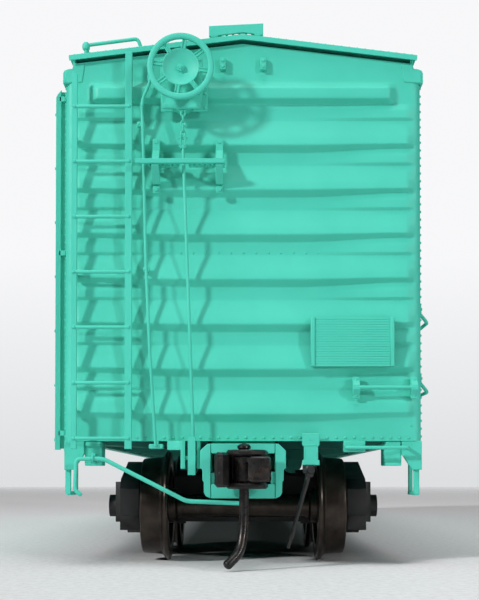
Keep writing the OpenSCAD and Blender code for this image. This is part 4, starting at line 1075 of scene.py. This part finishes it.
def coupler_box():
    """The striker: two cheeks, a bridge above and a sill below its opening, then the box behind and the pivot post."""
    front, back = -BOX_OUT, WALL + 0.4
    cheek = [(2.98, 2.4), (3.3, 2.36), (3.95, 1.75), (3.95, 0.12), (3.74, 0), (3.74, -1.0), (3.62, -1.12), (3.6, -2.1),
             (3.42, -2.45), (2.98, -2.65)]
    parts = [plate("y", cheek, front, back, 0.05)]
    parts += mirrored(parts)
    parts += [box((-2.93, front + 0.02, 1.5), (2.93, back, 2.4)),
              box((-2.93, front + 0.02, -2.65), (2.93, back, -1.35)),
              boxes([(-3.0, front + 0.3, -1.4), (2.55, front + 0.3, -1.4)],
                   [(-2.45, back, -0.3), (3, back, -0.2)], 0.06),
              boxes([(-3.4, WALL, -1.9), (2.95, WALL, -1.9), (-3.4, WALL, 1.5), (-3.4, WALL, -1.9), (-3.4, 4.8, -1.9)],
                    [(-2.95, 5.4, 3.4), (3.4, 5.4, 3.4), (3.4, 5.4, 3.4), (3.4, 5.4, -1.35), (3.4, 5.4, 3.4)]),
              lathe([(-1.4, 0.02), (-1.4, 0.75), (1.55, 0.75), (1.55, 0.02)], (0, PIVOT_IN, 0), "z", 32)]
    return moved(parts, 0, -HALF_L, COUPLER_Z)


def coupler_head():
    """The cast head: shank and eye, a rounded guard arm on the left, and two lugs round the knuckle's pin."""
    eye = np.array([(-0.6, 0.82), (-0.6, 1.22), (-0.52, 1.3), (0.52, 1.3), (0.6, 1.22), (0.6, 0.82)])
    a = np.linspace(0, 2 * np.pi, 40, endpoint=False)[:, None]
    rings = spots(eye[:, 1] * np.cos(a), HEAD - HALF_L + PIVOT_IN + eye[:, 1] * np.sin(a), eye[:, 0])
    guard = [(-2.3, 0), (-2.5, -1.2), (-2.5, -3.7), (-2.25, -4.15), (-1.75, -4.2), (-1.35, -3.6), (-1.2, -2.2),
             (-1.25, -1.4), (-0.9, -0.6), (-0.9, 0)]
    lug = [(-1.5, 0), (-1.5, -1.4), (-0.95, -2.6), (-0.3, -2.95), (0.9, -2.9), (2.0, -2.1), (2.3, 0)]
    parts = [skin(rings, loop=True), box((-1, 0, -0.6), (1, 4.8, 0.6), 0.12),
             box((-2.35, -0.8, -1.5), (2.1, 0, 1.5), 0.22), plate("z", guard, -1.6, 1.48, 0.24),
             plate("z", lug, 1.18, 1.75, 0.16), plate("z", lug, -1.75, -1.2, 0.16),
             domes([(-1.9, -4.18, 0.9), (-1.95, -4.18, -0.4)], (0, -1, 0), 0.2, 0.03)]
    return moved(parts, 0, -HEAD, COUPLER_Z)


def knuckle():
    """The hooked jaw turning on its pin: a rounded hub, a curved arm with a deep throat, and the long bent trip pin."""
    hub = [(-1.1, 0.03), (-1.1, 0.85), (-1.02, 0.95), (1.02, 0.95), (1.1, 0.85), (1.1, 0.03)]
    arm = [(0.1, -0.7), (0.55, 0.35), (1.4, 0.2), (2.15, -0.2), (2.5, -0.9), (2.48, -1.7), (2.3, -2.2), (1.7, -2.36),
           (0.95, -2.35), (0.45, -2.1), (0.7, -1.9), (1.35, -1.8), (1.5, -1.4), (1.1, -1.0)]
    cap = [(1.8, 0.02), (1.8, 0.5), (1.9, 0.62), (2.1, 0.6), (2.26, 0.42), (2.3, 0.03)]
    pin = [(0.1, 0, 1.9), (0.1, 0, -4.2), (0, -0.25, -6), (-0.3, -0.75, -7.4), (-1.35, -1.5, -8.4)]
    parts = [lathe(hub, (0.1, 0, 0), "z", 40), plate("z", arm, -1.1, 1.1, 0.14), lathe(cap, (0.1, 0, 0), "z", 28),
             tube(pin, [0.9, 0.9, 0.9, 0.9, 0.9, 0.88], 1.3, 24)]
    return moved(parts, 0, -HEAD - 2, COUPLER_Z)


for end, face in (("brake", list), ("plain", turned)):
    piece("coupler_box_" + end + "_painted", face(coupler_box()), green_paint, "carbody",
          ["coupler_box_" + end])
    piece("coupler_head_casting_" + end, face(coupler_head()), coupler_black, "coupler_head_" + end,
          ["coupler_" + end])
    piece("knuckle_casting_" + end, face(knuckle()), pin_black, "knuckle_jaw_" + end,
          ["knuckle_" + end])

# ---------- wheelsets ----------
# Half the distance between the backs of the wheels, the width of a tyre and the height of its flange.
BACK = 7.25
TYRE = 2.79
FLANGE = 0.64


def wheelset(number):
    """One turned profile from journal tip to journal tip: axle, hub, dished plate, rim, tread and flange."""
    low, high = span("wheelset_%d" % number)
    y, z = (low[1] + high[1]) / 2, (low[2] + high[2]) / 2
    tip, r_f = high[0], (high[2] - low[2]) / 2
    r, b, o = r_f - FLANGE, BACK, BACK + TYRE
    half = np.array([
        (0, 1.15), (3.0, 1.15), (6.2, 1.15), (6.55, 1.3), (6.75, 1.68), (7.25, 1.78), (7.6, 1.78), (7.7, 2.1),
        (7.74, 3.0), (7.66, r - 1.2), (7.5, r - 1.05), (7.3, r - 0.85), (b, r - 0.7), (b, r + 0.42),
        (b + 0.05, r_f - 0.08), (b + 0.16, r_f - 0.01), (b + 0.26, r_f), (b + 0.4, r_f - 0.05), (b + 0.55, r_f - 0.22),
        (b + 0.68, r + 0.16), (b + 0.85, r + 0.05), (b + 1.6, r), (o - 0.28, r - 0.05), (o - 0.1, r - 0.1),
        (o, r - 0.22), (o, r - 0.85), (o - 0.1, r - 0.95), (b + 1.6, r - 1.05), (b + 1.3, r - 1.3), (b + 1.22, 3.0),
        (b + 1.25, 2.0), (b + 1.4, 1.75), (o - 0.3, 1.6), (o - 0.1, 1.5), (o, 1.3), (o, 0.62), (o + 0.06, 0.55),
        (tip - 0.32, 0.54), (tip - 0.2, 0.4), (tip, 0.03)])
    profile = np.concatenate([half[::-1] * [-1, 1], half[1:]])
    metal = turned_metal("blackened_turned_metal_%d" % number, y, z, (0.028, 0.022, 0.019), (0.055, 0.043, 0.035))
    piece("turned_wheelset_%d" % number, [lathe(profile, (0, y, z), "x", 112)], metal,
          "axle_%d" % number, ["wheelset_%d" % number], 24)


for number in (1, 2, 3, 4):
    wheelset(number)

# ---------- floor, light and camera ----------
def shade_below(tree, where, card):
    """The card's colour with a painted shadow under the car: darkened by the product of a ramp across its width and one
    along its length.
    """
    place = shade(tree, "SeparateXYZ", {"Vector": where})
    sides = [ramp(tree, maths(tree, "ABSOLUTE", place[axis]), (reach - 5) * MM, (reach + 4) * MM, 1, 0)
             for axis, reach in (("X", 12.0), ("Y", 57.0))]
    # Painted shadow: a near-black colour blended into the card under the car, where the body's shade falls.
    return blend(tree, maths(tree, "MULTIPLY", *sides), card, (0.03, 0.036, 0.036, 1))


def studio_floor():
    """A wide pale disc just under the wheels, speckled, with a painted shadow under the car, that fades out far from
    the car.
    """
    mesh = bpy.data.meshes.new("studio_floor")
    radius = np.array([0.0005, 0.3, 1.2, 5.0])[:, None]
    a = np.linspace(0, 2 * np.pi, 48, endpoint=False)[None, :]
    points = np.stack([radius * np.cos(a), radius * np.sin(a), 0 * radius * a], -1).reshape(-1, 3)
    faces = grid_faces(4, 48, ring_v=True).tolist() + [list(range(48))]
    mesh.from_pydata(points.tolist(), [], faces)
    made, tree, shader, where = finish_nodes("pale_speckled_card_with_painted_shadow")
    speck = grain(tree, where, 1500, 4, 0.7)
    card = tint(tree, speck, 0.35, 0.65, (0.7, 0.685, 0.7), (0.83, 0.82, 0.835))
    wire(tree, shader, {"Base Color": shade_below(tree, where, card), "Roughness": 0.75})
    relief(tree, shader, [(speck, 60)])
    clear = shade(tree, "BsdfTransparent", {})["BSDF"]
    fade = ramp(tree, distance(tree, where), 0.2, 0.9, 0, 1)
    surface = shade(tree, "MixShader", {"Fac": fade, 1: shader.outputs["BSDF"], 2: clear})["Shader"]
    wire(tree, tree.nodes["Material Output"], {"Surface": surface})
    mesh.materials.append(made)
    placed("studio_floor", mesh)


studio_floor()


def area_light(name, place, aim, size, power):
    """A square soft light that looks at a point."""
    data = bpy.data.lights.new(name, "AREA")
    data.energy = power
    data.size = size
    lamp = placed(name, data)
    lamp.location = place
    lamp.rotation_euler = (Vector(aim) - Vector(place)).to_track_quat("-Z", "Y").to_euler()


aim = (0, -HALF_L * MM, 0.026)
area_light("left_key", (-0.62, -0.52, 0.42), aim, 0.08, 5.4)
area_light("right_key", (0.55, -0.62, 0.25), aim, 0.08, 1.9)
area_light("top_soft", (0.0, -0.22, 0.68), (0, -0.08, 0.03), 0.45, 2.6)
area_light("back_soft", (0.3, 0.75, 0.5), (0, 0.04, 0.03), 0.5, 0.9)


def studio_world():
    """A pale backdrop that darkens a little towards the floor, and a weaker even light on the car."""
    world = bpy.data.worlds.new("studio_world")
    bpy.context.scene.world = world
    world.use_nodes = True
    tree = world.node_tree
    backdrop = tree.nodes["Background"]
    height = shade(tree, "SeparateXYZ", {"Vector": shade(tree, "TexCoord", {})["Generated"]})["Z"]
    wire(tree, backdrop, {"Color": tint(tree, height, 0.0, 0.2, (0.72, 0.735, 0.745), (0.935, 0.935, 0.95))})
    ambient = shade(tree, "Background", {"Color": (1, 1, 1, 1), "Strength": 0.035})["Background"]
    seen = shade(tree, "LightPath", {})["Is Camera Ray"]
    chosen = shade(tree, "MixShader", {"Fac": seen, 1: ambient, 2: backdrop.outputs["Background"]})["Shader"]
    wire(tree, tree.nodes["World Output"], {"Surface": chosen})


studio_world()

lens = bpy.data.cameras.new("camera")
lens.sensor_width = 36
lens.lens = 64.0
lens.shift_x = -0.0082
lens.shift_y = 0.2594
lens.clip_start = 0.002
lens.clip_end = 20
camera = placed("camera", lens)
camera.location = (0.13 * MM, (-HALF_L - 100) * MM, 8.23 * MM)
camera.rotation_euler = (math.radians(91.2), 0, 0)
bpy.context.scene.camera = camera
bpy.context.scene.view_settings.view_transform = "Standard"
